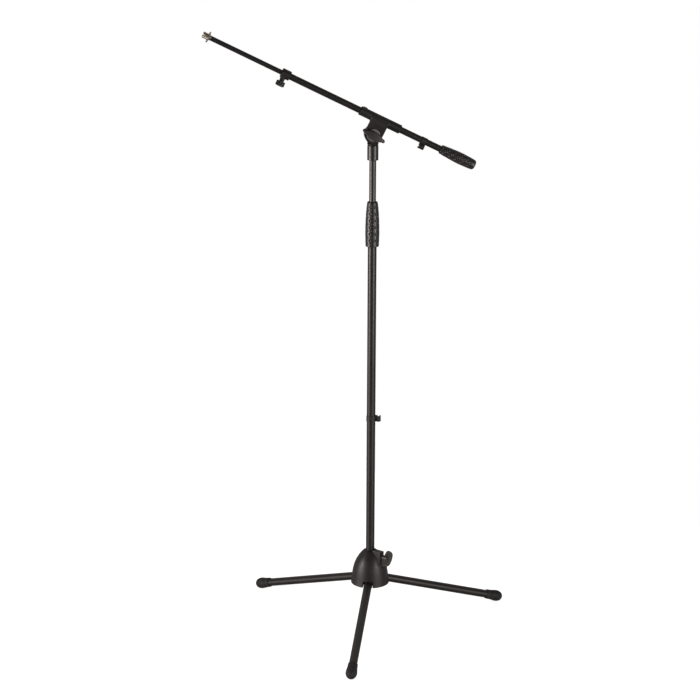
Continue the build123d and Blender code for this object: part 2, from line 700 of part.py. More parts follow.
def ribbed_knob(plane, outer, length, screw_depth):
    """A thumb knob with eight scalloped flats and a blind hole for its screw."""
    with BuildPart() as made:
        with BuildSketch(plane):
            Circle(5.6)
        extrude(amount=2.5)
        with BuildSketch(plane.offset(1.5)):
            Circle(outer)
            with PolarLocations(outer + 2.6, 8):
                Circle(3.6, mode=Mode.SUBTRACT)
        extrude(amount=length - 1.5)
        chamfer(made.faces().sort_by(Axis(plane.origin, plane.z_dir))[-1].edges(), length=0.8)
        with BuildSketch(plane):
            Circle(SMALL_SCREW_R)
        extrude(amount=screw_depth, mode=Mode.SUBTRACT)
    return made


boom_lock_knob = ribbed_knob(boom_side_plane(LOCK_T, 270, 16.5), 10.6, 11.5, 7)
boom_lock_knob.part.label = "boom_lock_knob"
export_step(boom_lock_knob.part, "parts/boom_lock_knob.step")

# ------------------------------------------------------------------ boom
boom_outer_tube = rod(boom_plane(OUTER_BACK), OUTER_R, OUTER_R - OUTER_WALL, OUTER_FRONT - OUTER_BACK)
boom_outer_tube.part.label = "boom_outer_tube"
export_step(boom_outer_tube.part, "parts/boom_outer_tube.step")

with BuildPart() as boom_grip:
    with BuildSketch(boom_profile_plane()):
        with BuildLine():
            Polyline((OUTER_R, HANDLE_FRONT), (10.5, HANDLE_FRONT), (11.3, HANDLE_FRONT - 1.0))
            Spline(
                (11.3, HANDLE_FRONT - 1.0),
                (12.4, HANDLE_FRONT - 13),
                (13.4, HANDLE_FRONT - 28),
                (14.4, HANDLE_FRONT - 45),
                (14.6, HANDLE_FRONT - 55),
                (14.1, HANDLE_FRONT - 70),
                (13.1, HANDLE_BACK + 8),
                (11.5, HANDLE_BACK + 2),
                (9.0, HANDLE_BACK),
            )
            Polyline((9.0, HANDLE_BACK), (0, HANDLE_BACK), (0, OUTER_BACK), (OUTER_R, OUTER_BACK),
                     (OUTER_R, HANDLE_FRONT))
        make_face()
    revolve(axis=BOOM_AXIS)
boom_grip.part.label = "boom_grip"
export_step(boom_grip.part, "parts/boom_grip.step")

boom_cable_clip = cable_clip(boom_plane(BOOM_CLIP_T - CLIP_WIDTH / 2), OUTER_R, -83.0, -1)
boom_cable_clip.part.label = "boom_cable_clip"
export_step(boom_cable_clip.part, "parts/boom_cable_clip.step")

with BuildPart() as boom_clamp_collar:
    with BuildSketch(boom_plane(COLLAR_BACK)):
        Circle(COLLAR_R)
    extrude(amount=COLLAR_FRONT - COLLAR_BACK)
    fillet(boom_clamp_collar.edges().filter_by(GeomType.CIRCLE), radius=0.8)
    with BuildSketch(boom_side_plane(COLLAR_SCREW_T, COLLAR_SCREW_ROLL, 9.5)):
        Circle(6.2)
    extrude(amount=8.8)
    with BuildSketch(boom_plane(COLLAR_BACK - 1)):
        Circle(OUTER_R)
    extrude(amount=OUTER_FRONT - COLLAR_BACK + 1, mode=Mode.SUBTRACT)
    with BuildSketch(boom_plane(COLLAR_BACK)):
        Circle(INNER_R + RUNNING_FIT)
    extrude(amount=40, mode=Mode.SUBTRACT)
    with BuildSketch(boom_side_plane(COLLAR_SCREW_T, COLLAR_SCREW_ROLL, 4)):
        Circle(SMALL_SCREW_R + MOVING_GAP)
    extrude(amount=20, mode=Mode.SUBTRACT)
    with BuildSketch(boom_side_plane(COLLAR_SCREW_T, COLLAR_SCREW_ROLL, 11.5)):
        Circle(4.6)
    extrude(amount=10, mode=Mode.SUBTRACT)
boom_clamp_collar.part.label = "boom_clamp_collar"
export_step(boom_clamp_collar.part, "parts/boom_clamp_collar.step")

collar_out = boom_side_plane(COLLAR_SCREW_T, COLLAR_SCREW_ROLL, 0)
boom_clamp_insert = rod(collar_out.offset(11.5), 4.6, SMALL_SCREW_R + RUNNING_FIT, 6.6)
boom_clamp_insert.part.label = "boom_clamp_insert"
export_step(boom_clamp_insert.part, "parts/boom_clamp_insert.step")

boom_clamp_pad = rod(collar_out.offset(INNER_R + 0.06), SMALL_SCREW_R, 0, 4.6)
boom_clamp_pad.part.label = "boom_clamp_pad"
export_step(boom_clamp_pad.part, "parts/boom_clamp_pad.step")

boom_clamp_screw = rod(collar_out.offset(10.9), SMALL_SCREW_R, 0, 16.5)
boom_clamp_screw.part.label = "boom_clamp_screw"
export_step(boom_clamp_screw.part, "parts/boom_clamp_screw.step")

boom_clamp_knob = ribbed_knob(collar_out.offset(19.0), 11.2, 12.8, 8.4)
boom_clamp_knob.part.label = "boom_clamp_knob"
export_step(boom_clamp_knob.part, "parts/boom_clamp_knob.step")

boom_inner_tube = rod(boom_plane(INNER_BACK), INNER_R, INNER_R - INNER_WALL, INNER_FRONT - INNER_BACK)
boom_inner_tube.part.label = "boom_inner_tube"
export_step(boom_inner_tube.part, "parts/boom_inner_tube.step")

INNER_GUIDE_R = OUTER_R - OUTER_WALL - 0.06
boom_inner_bush = turned(
    boom_profile_plane(),
    [
        (3.5, INNER_BACK - 6),
        (INNER_GUIDE_R, INNER_BACK - 6),
        (INNER_GUIDE_R, INNER_BACK + 30),
        (INNER_R + 0.05, INNER_BACK + 30),
        (INNER_R + 0.05, INNER_BACK - 0.3),
        (3.5, INNER_BACK - 0.3),
    ],
    BOOM_AXIS,
)
boom_inner_bush.part.label = "boom_inner_bush"
export_step(boom_inner_bush.part, "parts/boom_inner_bush.step")

# ------------------------------------------------------------------ microphone thread
with BuildPart() as thread_stud:
    with BuildSketch(boom_plane(INNER_FRONT - 21)):
        Circle(INNER_R - INNER_WALL)
    extrude(amount=21)
    with BuildSketch(boom_plane(INNER_FRONT)):
        Circle(6.6)
    extrude(amount=STUD_SHOULDER_T - INNER_FRONT)
    with BuildSketch(boom_plane(STUD_SHOULDER_T)):
        Circle(STUD_RELIEF_R)
    extrude(amount=STUD_THREAD_T - STUD_SHOULDER_T)
    with BuildSketch(boom_plane(STUD_THREAD_T)):
        Circle(STUD_R)
    extrude(amount=STUD_TIP_T - STUD_THREAD_T)
    with BuildSketch(boom_plane(STUD_SHOULDER_T + 3)):
        Circle(STUD_BORE_R)
    extrude(amount=30, mode=Mode.SUBTRACT)
    with BuildSketch(boom_plane(STUD_TIP_T - 5)):
        Rectangle(2 * STUD_R + 2, STUD_SLOT)
    extrude(amount=10, mode=Mode.SUBTRACT)
thread_stud.part.label = "thread_stud"
export_step(thread_stud.part, "parts/thread_stud.step")

thread_lock_ring = turned(
    boom_profile_plane(),
    [
        (STUD_RELIEF_R + RUNNING_FIT, RING_BACK),
        (RING_R - 0.6, RING_BACK),
        (RING_R, RING_BACK + 0.6),
        (RING_R, RING_FRONT - 0.6),
        (RING_R - 0.6, RING_FRONT),
        (STUD_RELIEF_R + RUNNING_FIT, RING_FRONT),
    ],
    BOOM_AXIS,
)
thread_lock_ring.part.label = "thread_lock_ring"
export_step(thread_lock_ring.part, "parts/thread_lock_ring.step")
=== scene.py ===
"""Looks of the boom microphone stand: fine meshes, finishes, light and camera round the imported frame.

Shapes are drawn in millimetres in a local frame and placed by its matrix; the frame itself is in metres.
"""
import json
import math

import bpy
import numpy as np
from mathutils import Matrix, Vector


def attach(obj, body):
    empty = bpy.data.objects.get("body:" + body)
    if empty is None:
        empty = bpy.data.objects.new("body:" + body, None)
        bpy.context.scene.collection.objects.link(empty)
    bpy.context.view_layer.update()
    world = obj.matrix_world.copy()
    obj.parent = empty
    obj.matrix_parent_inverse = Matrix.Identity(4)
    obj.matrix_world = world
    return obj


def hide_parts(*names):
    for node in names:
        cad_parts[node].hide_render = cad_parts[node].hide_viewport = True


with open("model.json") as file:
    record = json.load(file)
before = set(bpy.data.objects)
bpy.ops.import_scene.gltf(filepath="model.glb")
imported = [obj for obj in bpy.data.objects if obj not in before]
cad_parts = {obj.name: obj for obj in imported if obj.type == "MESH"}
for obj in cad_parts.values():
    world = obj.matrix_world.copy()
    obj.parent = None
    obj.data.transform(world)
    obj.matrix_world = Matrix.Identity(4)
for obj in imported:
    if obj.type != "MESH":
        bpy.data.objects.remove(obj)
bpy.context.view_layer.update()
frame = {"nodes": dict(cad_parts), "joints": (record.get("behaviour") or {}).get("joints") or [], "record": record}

MM = 0.001
record = frame["record"]
joints = {joint["name"]: joint for joint in frame["joints"]}
body_of = {node: body for body, nodes in record["behaviour"]["bodies"].items() for node in nodes}
slot_of = {row["node"]: row["material_slot"] for row in record["subparts"]}

# ------------------------------------------------------------------ local frames
UP = Vector((0, 0, 1))


def local_frame(origin, x_dir, z_dir):
    """Matrix from local millimetres to the row frame: unit x and z, with y completing them."""
    x = Vector(x_dir).normalized()
    z = Vector(z_dir).normalized()
    turn = Matrix((x, z.cross(x), z)).transposed().to_4x4()
    return Matrix.Translation(Vector(origin)) @ turn @ Matrix.Scale(MM, 4)


def joint_point(name):
    return Vector(joints[name]["pos_m"])


def joint_axis(name):
    return Vector(joints[name]["axis"])


column_foot = joint_point("head_turn")
column_foot.z = 0
FRONT = -joint_axis("boom_tilt")
LEVEL = UP.cross(FRONT)
TOWARDS_TIP = joint_axis("boom_roll")
COLUMN = local_frame(column_foot, (1, 0, 0), UP)
PIVOT = local_frame(joint_point("boom_tilt"), LEVEL, FRONT)
BOOM = local_frame(joint_point("boom_roll"), FRONT, TOWARDS_TIP)
LEG_SLOPE = math.radians(17.4)


def leg_frame(number):
    """Frame at a leg's hinge pin: z down the leg, x along the pin."""
    side = joint_axis(f"leg_fold_{number}")
    along = side.cross(UP) * math.cos(LEG_SLOPE) - UP * math.sin(LEG_SLOPE)
    return local_frame(joint_point(f"leg_fold_{number}"), side, along)


# ------------------------------------------------------------------ mesh making
def area_normals(points, face_sets):
    """Vertex normals weighted by face area, so that flats stay flat beside small roundings."""
    total = np.zeros_like(points)
    for faces in face_sets:
        a, b, c, d = (points[faces[:, corner]] for corner in (0, 1, 2, -1))
        across = np.cross(c - a, d - b) if faces.shape[1] == 4 else np.cross(b - a, c - a)
        for corner in range(faces.shape[1]):
            np.add.at(total, faces[:, corner], across)
    return total / np.maximum(np.linalg.norm(total, axis=1, keepdims=True), 1e-12)


def raw_mesh(name, points, face_sets):
    """A mesh from points and arrays of quads or triangles."""
    mesh = bpy.data.meshes.new(name)
    mesh.vertices.add(len(points))
    mesh.vertices.foreach_set("co", points.astype(np.float32).ravel())
    sizes = np.concatenate([np.full(len(faces), faces.shape[1]) for faces in face_sets])
    mesh.loops.add(int(sizes.sum()))
    corners = np.concatenate([faces.ravel() for faces in face_sets])
    mesh.loops.foreach_set("vertex_index", corners.astype(np.int32))
    mesh.polygons.add(len(sizes))
    mesh.polygons.foreach_set("loop_start", (np.cumsum(sizes) - sizes).astype(np.int32))
    mesh.update(calc_edges=True)
    mesh.validate()
    return mesh


def mesh_points(mesh):
    points = np.zeros(len(mesh.vertices) * 3, np.float32)
    mesh.vertices.foreach_get("co", points)
    return points.reshape(-1, 3).astype(float)


def place(node, mesh, matrix, material, normals):
    """Shows a finished local mesh in the place of a CAD node, riding on the node's body."""
    mesh.transform(matrix)
    mesh.polygons.foreach_set("use_smooth", np.ones(len(mesh.polygons), bool))
    turn = np.array(matrix.to_3x3()) / MM
    mesh.normals_split_custom_set_from_vertices(normals @ turn.T)
    mesh.materials.append(material)
    piece = bpy.data.objects.new(f"{node}_piece", mesh)
    bpy.context.scene.collection.objects.link(piece)
    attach(piece, body_of[node])
    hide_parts(node)
    return piece


def thinned(mesh, keep):
    """The mesh with a share of its triangles, fewest where it is flat."""
    holder = bpy.data.objects.new("thinning", mesh)
    bpy.context.scene.collection.objects.link(holder)
    modifier = holder.modifiers.new("thin", "DECIMATE")
    modifier.ratio = keep
    graph = bpy.context.evaluated_depsgraph_get()
    thin = bpy.data.meshes.new_from_object(holder.evaluated_get(graph))
    bpy.data.objects.remove(holder)
    bpy.data.meshes.remove(mesh)
    return thin


# ------------------------------------------------------------------ turned shapes
def outline(*corners, steps=5):
    """Outline through (radius, height, rounding) corners; a rounding becomes a short arc."""
    points = []
    for index, (r, z, rounding) in enumerate(corners):
        here = np.array((r, z), float)
        if rounding == 0:
            points.append(here)
            continue
        back = np.array(corners[index - 1][:2], float) - here
        ahead = np.array(corners[(index + 1) % len(corners)][:2], float) - here
        back_length, ahead_length = np.linalg.norm(back), np.linalg.norm(ahead)
        back, ahead = back / back_length, ahead / ahead_length
        half = math.acos(float(np.clip(back @ ahead, -1, 1))) / 2
        reach = min(rounding / max(math.tan(half), 0.05), 0.49 * back_length, 0.49 * ahead_length)
        for share in np.linspace(0, 1, steps):
            points.append(here + back * reach * (1 - share) ** 2 + ahead * reach * share**2)
    return points


def curve_through(knots, spacing):
    """Points of a smooth curve through (radius, height) knots, about spacing apart."""
    knots = [np.array(k, float) for k in knots]
    ends = [2 * knots[0] - knots[1], *knots, 2 * knots[-1] - knots[-2]]
    points = []
    for a, b, c, d in zip(ends, ends[1:], ends[2:], ends[3:]):
        count = max(2, round(float(np.linalg.norm(c - b)) / spacing))
        for s in np.arange(count) / count:
            bend = (2 * a - 5 * b + 4 * c - d) * s**2 + (3 * b - a - 3 * c + d) * s**3
            points.append(b + 0.5 * ((c - a) * s + bend))
    return points + [knots[-1]]


def lathe(node, matrix, profile, material, segments=96, shape=None):
    """A closed (radius, height) profile turned round z; shape(angle, r, z) may move the points."""
    ring = np.array(profile, float)
    rows = len(ring)
    angle = np.arange(segments) * 2 * np.pi / segments + 0 * ring[:, :1]
    r = ring[:, :1] + 0 * angle
    z = ring[:, 1:] + 0 * angle
    if shape:
        r, z = shape(angle, r, z)
    points = np.stack((r * np.cos(angle), r * np.sin(angle), z), axis=-1).reshape(-1, 3)
    row, step = np.meshgrid(np.arange(rows), np.arange(segments), indexing="ij")
    next_row, next_step = (row + 1) % rows, (step + 1) % segments
    faces = np.stack(
        (row * segments + step, row * segments + next_step,
         next_row * segments + next_step, next_row * segments + step), axis=-1
    ).reshape(-1, 4)
    # on the axis a ring of points becomes one point and its quads become triangles
    on_axis = r.reshape(-1) < 1e-6
    target = np.arange(len(points))
    target[on_axis] -= target[on_axis] % segments
    faces = target[faces]
    opens = faces[:, 0] == faces[:, 1]
    closes = faces[:, 2] == faces[:, 3]
    face_sets = [faces[~opens & ~closes], faces[opens & ~closes][:, (0, 2, 3)], faces[closes & ~opens][:, :3]]
    face_sets = [faces for faces in face_sets if len(faces)]
    normals = area_normals(points, face_sets)
    kept = np.unique(np.concatenate([faces.ravel() for faces in face_sets]))
    order = np.zeros(len(points), int)
    order[kept] = np.arange(len(kept))
    mesh = raw_mesh(node, points[kept], [order[faces] for faces in face_sets])
    return place(node, mesh, matrix, material, normals[kept])


def tube_profile(outer, inner, bottom, top, rounding=0.35):
    return outline(
        (outer, bottom, rounding), (outer, top, rounding), (inner, top, rounding), (inner, bottom, rounding)
    )


# ------------------------------------------------------------------ moulded shapes
# distance functions in millimetres: below zero inside
def slab(value, half):
    """Everything within half of zero."""
    return np.abs(value) - half


def both(a, b, rounding=0.0):
    """The overlap of two shapes, with a rounded outer edge."""
    if rounding <= 0:
        return np.maximum(a, b)
    over = np.maximum(a + rounding, 0) ** 2 + np.maximum(b + rounding, 0) ** 2
    return np.minimum(np.maximum(a, b), -rounding) + np.sqrt(over)


def either(a, b, fillet=0.0):
    """Two shapes joined, with a fillet where they meet."""
    if fillet <= 0:
        return np.minimum(a, b)
    share = np.clip(0.5 + 0.5 * (b - a) / fillet, 0, 1)
    return b + (a - b) * share - fillet * share * (1 - share)


def without(a, b, rounding=0.0):
    return both(a, -b, rounding)


def disc(u, v, radius, along, low, high, rounding=0.0):
    """A round bar of that radius from low to high along its axis."""
    return both(np.hypot(u, v) - radius, slab(along - (low + high) / 2, (high - low) / 2), rounding)


def block(u, v, w, half_u, half_v, half_w, rounding=0.0):
    return both(both(slab(u, half_u), slab(v, half_v), rounding), slab(w, half_w), rounding)


def inside_polygon(u, v, corners):
    """Distance to a polygon drawn anticlockwise."""
    nearest = np.full(np.broadcast(u, v).shape, 1e9)
    crossed = np.zeros(nearest.shape, bool)
    for (ax, ay), (bx, by) in zip(corners, corners[1:] + corners[:1]):
        ex, ey = bx - ax, by - ay
        share = np.clip(((u - ax) * ex + (v - ay) * ey) / (ex * ex + ey * ey), 0, 1)
        nearest = np.minimum(nearest, np.hypot(u - ax - ex * share, v - ay - ey * share))
        if ey != 0:
            crossed ^= ((v >= ay) != (v >= by)) & (u < ax + (v - ay) * ex / ey)
    return np.where(crossed, -nearest, nearest)


def gradient(field, points):
    """Direction of steepest rise of a distance function at some points."""
    reach = 0.04
    rise = np.zeros_like(points)
    for axis in range(3):
        step = np.zeros(3)
        step[axis] = reach
        rise[:, axis] = field(*(points + step).T) - field(*(points - step).T)
    return rise / (2 * reach)


def surface_net(field, low, high, step):
    """Points and quads on the zero surface of a distance function, between two corners."""
    first = np.array(low, float) - 1.5 * step
    sizes = [int((b - a) / step) + 4 for a, b in zip(first, high)]
    axes = [start + step * np.arange(size) for start, size in zip(first, sizes)]
    value = field(*np.meshgrid(*axes, indexing="ij", sparse=True)).astype(np.float32)
    cells = tuple(size - 1 for size in value.shape)

    def corner(offset):
        return value[tuple(slice(o, o + c) for o, c in zip(offset, cells))]

    total = np.zeros((3, *cells), np.float32)
    count = np.zeros(cells, np.float32)
    for axis in range(3):
        for u in (0, 1):
            for v in (0, 1):
                start = [0, 0, 0]
                start[(axis + 1) % 3] = u
                start[(axis + 2) % 3] = v
                end = list(start)
                end[axis] = 1
                a, b = corner(start), corner(end)
                crossed = (a < 0) != (b < 0)
                for c in range(3):
                    total[c][crossed] += start[c]
                total[axis][crossed] += a[crossed] / (a[crossed] - b[crossed])
                count += crossed
    live = count > 0
    index = np.zeros(cells, np.int64)
    index[live] = np.arange(live.sum())
    points = (np.argwhere(live) + (total[:, live] / count[live]).T) * step + first

    faces = []
    for axis in range(3):
        across, up = (axis + 1) % 3, (axis + 2) % 3
        low_end, high_end = [slice(1, -1)] * 3, [slice(1, -1)] * 3
        low_end[axis], high_end[axis] = slice(0, -1), slice(1, None)
        a, b = value[tuple(low_end)] < 0, value[tuple(high_end)] < 0
        for outwards, found in ((True, a & ~b), (False, b & ~a)):
            at = np.argwhere(found)
            at[:, across] += 1
            at[:, up] += 1
            quad = []
            for du, dv in ((-1, -1), (0, -1), (0, 0), (-1, 0)):
                cell = at.copy()
                cell[:, across] += du
                cell[:, up] += dv
                quad.append(index[tuple(cell.T)])
            faces.append(np.stack(quad if outwards else quad[::-1], axis=-1))
    return points, np.concatenate(faces)


def moulded(node, matrix, field, low, high, step, material, keep=0.5):
    """A fine mesh of a distance function in the place of a CAD node."""
    points, faces = surface_net(field, low, high, step)
    for _ in range(2):
        slope = gradient(field, points)
        size = np.maximum((slope**2).sum(axis=1), 0.25)
        move = np.clip(field(*points.T) / size, -0.6 * step, 0.6 * step)
        points = points - slope * move[:, None]
    mesh = raw_mesh(node, points, [faces])
    if keep < 1:
        mesh = thinned(mesh, keep)
    normals = gradient(field, mesh_points(mesh))
    normals /= np.maximum(np.linalg.norm(normals, axis=1, keepdims=True), 1e-9)
    return place(node, mesh, matrix, material, normals)


# ------------------------------------------------------------------ finishes
def add_node(tree, kind, values=None, **settings):
    """A shader node with its settings and its input values or links."""
    made = tree.nodes.new(kind)
    for key, value in settings.items():
        setattr(made, key, value)
    for key, value in (values or {}).items():
        if isinstance(value, bpy.types.NodeSocket):
            tree.links.new(value, made.inputs[key])
        else:
            made.inputs[key].default_value = value
    return made


def ranged(tree, value, low, high, to_low, to_high):
    """Maps a value from one range to another, clamped."""
    made = add_node(tree, "ShaderNodeMapRange", {
        "Value": value, "From Min": low, "From Max": high, "To Min": to_low, "To Max": to_high})
    return made.outputs["Result"]


def mixed(tree, share, a, b):
    """A colour between two colours."""
    made = add_node(tree, "ShaderNodeMix", data_type="RGBA")
    for slot, value in ((0, share), (6, a), (7, b)):
        if isinstance(value, bpy.types.NodeSocket):
            tree.links.new(value, made.inputs[slot])
        else:
            made.inputs[slot].default_value = value
    return made.outputs[2]


def finish_of(name, colour, second, rough, metal=0.0, specular=0.5, peel=(900, 0.2), grain=(4000, 0.1),
              worn=None, worn_share=0.5, streaks=None):
    """A finish with cloudy colour, uneven gloss, a coarse and a fine relief, and rubbed edges.

    peel and grain are (features per metre, strength); streaks is (direction, strength) of fine lines
    along a direction; worn is the colour that shows where edges are rubbed.
    """
    material = bpy.data.materials.new(name)
    material.use_nodes = True
    tree = material.node_tree
    shader = tree.nodes["Principled BSDF"]
    place_of = add_node(tree, "ShaderNodeTexCoord").outputs["Object"]

    def noise(scale, detail=2.0, vector=place_of):
        made = add_node(tree, "ShaderNodeTexNoise", {
            "Vector": vector, "Scale": scale, "Detail": detail, "Roughness": 0.5})
        return made.outputs["Fac"]

    clouds = noise(45, 4)
    fine = noise(grain[0], 2)
    shade = mixed(tree, ranged(tree, clouds, 0.35, 0.65, 0, 1), (*colour, 1), (*second, 1))
    speck = mixed(tree, ranged(tree, fine, 0.62, 0.75, 0, 0.35), shade, (*[2.2 * c for c in second], 1))
    gloss = ranged(tree, noise(130, 3), 0.3, 0.7, rough[0], rough[1])
    if worn:
        edges = add_node(tree, "ShaderNodeNewGeometry").outputs["Pointiness"]
        broken = noise(600, 3)
        rubbed = add_node(tree, "ShaderNodeMath", {
            0: ranged(tree, edges, 0.53, 0.6, 0, 1), 1: ranged(tree, broken, 0.4, 0.62, 0, worn_share)},
            operation="MULTIPLY").outputs[0]
        speck = mixed(tree, rubbed, speck, (*worn, 1))
    tree.links.new(speck, shader.inputs["Base Color"])
    height = add_node(tree, "ShaderNodeBump", {
        "Strength": peel[1], "Distance": 0.0002, "Height": noise(peel[0], 2)})
    relief = add_node(tree, "ShaderNodeBump", {
        "Strength": grain[1], "Distance": 0.00008, "Height": fine, "Normal": height.outputs[0]})
    if streaks:
        direction, strength = streaks
        squeeze = add_node(tree, "ShaderNodeVectorMath", {
            0: place_of, 1: tuple(direction)}, operation="DOT_PRODUCT").outputs["Value"]
        along = add_node(tree, "ShaderNodeVectorMath", {
            0: tuple(direction), "Scale": squeeze}, operation="SCALE").outputs["Vector"]
        flat = add_node(tree, "ShaderNodeVectorMath", {0: place_of, 1: along}, operation="SUBTRACT")
        slow = add_node(tree, "ShaderNodeVectorMath", {0: along, "Scale": 0.01}, operation="SCALE")
        lined = add_node(tree, "ShaderNodeVectorMath", {
            0: flat.outputs["Vector"], 1: slow.outputs["Vector"]}, operation="ADD").outputs["Vector"]
        lines = noise(2500, 3, lined)
        gloss = add_node(tree, "ShaderNodeMath", {
            0: gloss, 1: ranged(tree, lines, 0.35, 0.7, -0.04, 0.12)}, operation="ADD").outputs[0]
        relief = add_node(tree, "ShaderNodeBump", {
            "Strength": strength, "Distance": 0.00005, "Height": lines, "Normal": relief.outputs[0]})
    tree.links.new(gloss, shader.inputs["Roughness"])
    tree.links.new(relief.outputs[0], shader.inputs["Normal"])
    shader.inputs["Metallic"].default_value = metal
    shader.inputs["Specular IOR Level"].default_value = specular
    return material


# the black parts differ in gloss and in how much grey shows where hands have rubbed them; the wing knobs' plastic
# is lighter all over, a painted highlight
TUBE = dict(colour=(0.0105, 0.0092, 0.0092), second=(0.0155, 0.0135, 0.013), rough=(0.27, 0.36),
            peel=(700, 0.16), grain=(3200, 0.12))
column_paint = finish_of("column_powder_coat", streaks=(UP, 0.05), specular=0.58, **TUBE)
slider_paint = finish_of("slider_powder_coat", streaks=(UP, 0.05), specular=0.75, **TUBE)
boom_paint = finish_of("boom_powder_coat", streaks=(TOWARDS_TIP, 0.05), **TUBE)
leg_paint = finish_of("leg_powder_coat", **TUBE)
bell_paint = finish_of("bell_paint", (0.0125, 0.0108, 0.0115), (0.018, 0.0155, 0.0165), (0.36, 0.46),
                       peel=(1100, 0.35), grain=(5000, 0.25), worn=(0.07, 0.065, 0.062), worn_share=0.35)
cast_paint = finish_of("cast_paint", (0.012, 0.011, 0.011), (0.018, 0.0165, 0.0165), (0.4, 0.52),
                       peel=(900, 0.3), grain=(4200, 0.2), worn=(0.09, 0.085, 0.08), worn_share=0.4)
knob_plastic = finish_of("moulded_nylon", (0.0115, 0.0105, 0.0102), (0.017, 0.0155, 0.015), (0.38, 0.5),
                         peel=(1500, 0.2), grain=(6500, 0.3), worn=(0.05, 0.047, 0.045), worn_share=0.4)
# nylon made lighter all over as a painted highlight for the light on the wing knobs' ribs and bevels; the grey on
# its rubbed edges is real wear
painted_highlight_plastic = finish_of("nylon_painted_highlight", (0.03, 0.0275, 0.0265), (0.04, 0.037, 0.0355), (0.36, 0.48),
                         peel=(1500, 0.2), grain=(6500, 0.3), worn=(0.1, 0.094, 0.09), worn_share=0.5)
neck_plastic = finish_of("matt_nylon", (0.0075, 0.007, 0.0068), (0.011, 0.01, 0.0098), (0.52, 0.64),
                         specular=0.35, peel=(1500, 0.2), grain=(6500, 0.3), worn=(0.05, 0.047, 0.045),
                         worn_share=0.4)
grip_plastic = finish_of("grip_plastic", (0.015, 0.0137, 0.0132), (0.022, 0.02, 0.0193), (0.28, 0.38),
                         specular=0.65, peel=(1500, 0.12), grain=(5500, 0.2), worn=(0.07, 0.066, 0.062),
                         worn_share=0.5)
bush_plastic = finish_of("acetal", (0.01, 0.01, 0.01), (0.015, 0.015, 0.015), (0.35, 0.5),
                         peel=(1200, 0.1), grain=(5000, 0.1))
foot_rubber = finish_of("foot_rubber", (0.0115, 0.011, 0.011), (0.018, 0.017, 0.0168), (0.55, 0.75),
                        specular=0.4, peel=(800, 0.3), grain=(3500, 0.4), worn=(0.06, 0.058, 0.056),
                        worn_share=0.45)
zinc_steel = finish_of("zinc_steel", (0.52, 0.52, 0.53), (0.6, 0.6, 0.59), (0.25, 0.4), metal=1.0,
                       peel=(1500, 0.05), grain=(6000, 0.1), worn=(0.75, 0.75, 0.74))
black_steel = finish_of("black_steel", (0.03, 0.03, 0.031), (0.045, 0.044, 0.044), (0.35, 0.5), metal=1.0,
                        peel=(1500, 0.05), grain=(6000, 0.1), worn=(0.16, 0.155, 0.15), worn_share=0.4)
washer_steel = finish_of("washer_steel", (0.27, 0.26, 0.25), (0.34, 0.33, 0.32), (0.38, 0.5), metal=1.0,
                         peel=(1500, 0.08), grain=(6000, 0.15), worn=(0.5, 0.49, 0.47))
nickel = finish_of("nickel_plate", (0.58, 0.54, 0.45), (0.68, 0.64, 0.54), (0.16, 0.28), metal=1.0,
                   peel=(1600, 0.04), grain=(6000, 0.08), worn=(0.82, 0.8, 0.72))
brass = finish_of("turned_brass", (0.55, 0.38, 0.16), (0.68, 0.5, 0.22), (0.25, 0.4), metal=1.0,
                  peel=(1500, 0.05), grain=(6000, 0.1))

MATERIAL_OF_SLOT = {
    "tube_paint": column_paint, "base_paint": bell_paint, "cast_metal": cast_paint,
    "black_plastic": knob_plastic, "grip_plastic": grip_plastic, "bush_plastic": bush_plastic,
    "foot_rubber": foot_rubber, "zinc_steel": zinc_steel, "black_steel": black_steel,
    "washer_steel": washer_steel, "nickel": nickel, "brass": brass,
}
for node_name, node_object in frame["nodes"].items():
    node_object.data.materials.clear()
    node_object.data.materials.append(MATERIAL_OF_SLOT[slot_of[node_name]])

# ------------------------------------------------------------------ base housing
RIM = 109.7
BELL_HEIGHT = 88.0
BUSH_HEIGHT = 91.0      # the guide bush stands a little out of the bell
LEG_AZIMUTHS = [math.radians(a) for a in (22.5, 142.5, 262.5)]
BOSS_AZIMUTH = math.radians(-38)
LEG_PIN_R = 30.0
LEG_PIN_HEIGHT = joint_point("leg_fold_1").z / MM - RIM
CLAMP_HEIGHT = joint_point("base_wing_turn").z / MM - RIM
BORE_R = 13.0
NOTCH_HALF = 12.5
CHEEK_MIDDLE = NOTCH_HALF + 2
LOWER_R = 11.0
LOWER_SEAT_R = LOWER_R + 0.08
bell_curve = np.polyfit([0, 8, 26, 44, 61.5, 79.5, 88], [49.4, 48.2, 46.2, 42.9, 36.4, 25.0, 17.4], 4)
bell_slope = np.polyder(bell_curve)
WALL = 4.0


def round_column(x, y, azimuth):
    """Distances outwards and sideways from the column at an azimuth."""
    return x * math.cos(azimuth) + y * math.sin(azimuth), y * math.cos(azimuth) - x * math.sin(azimuth)


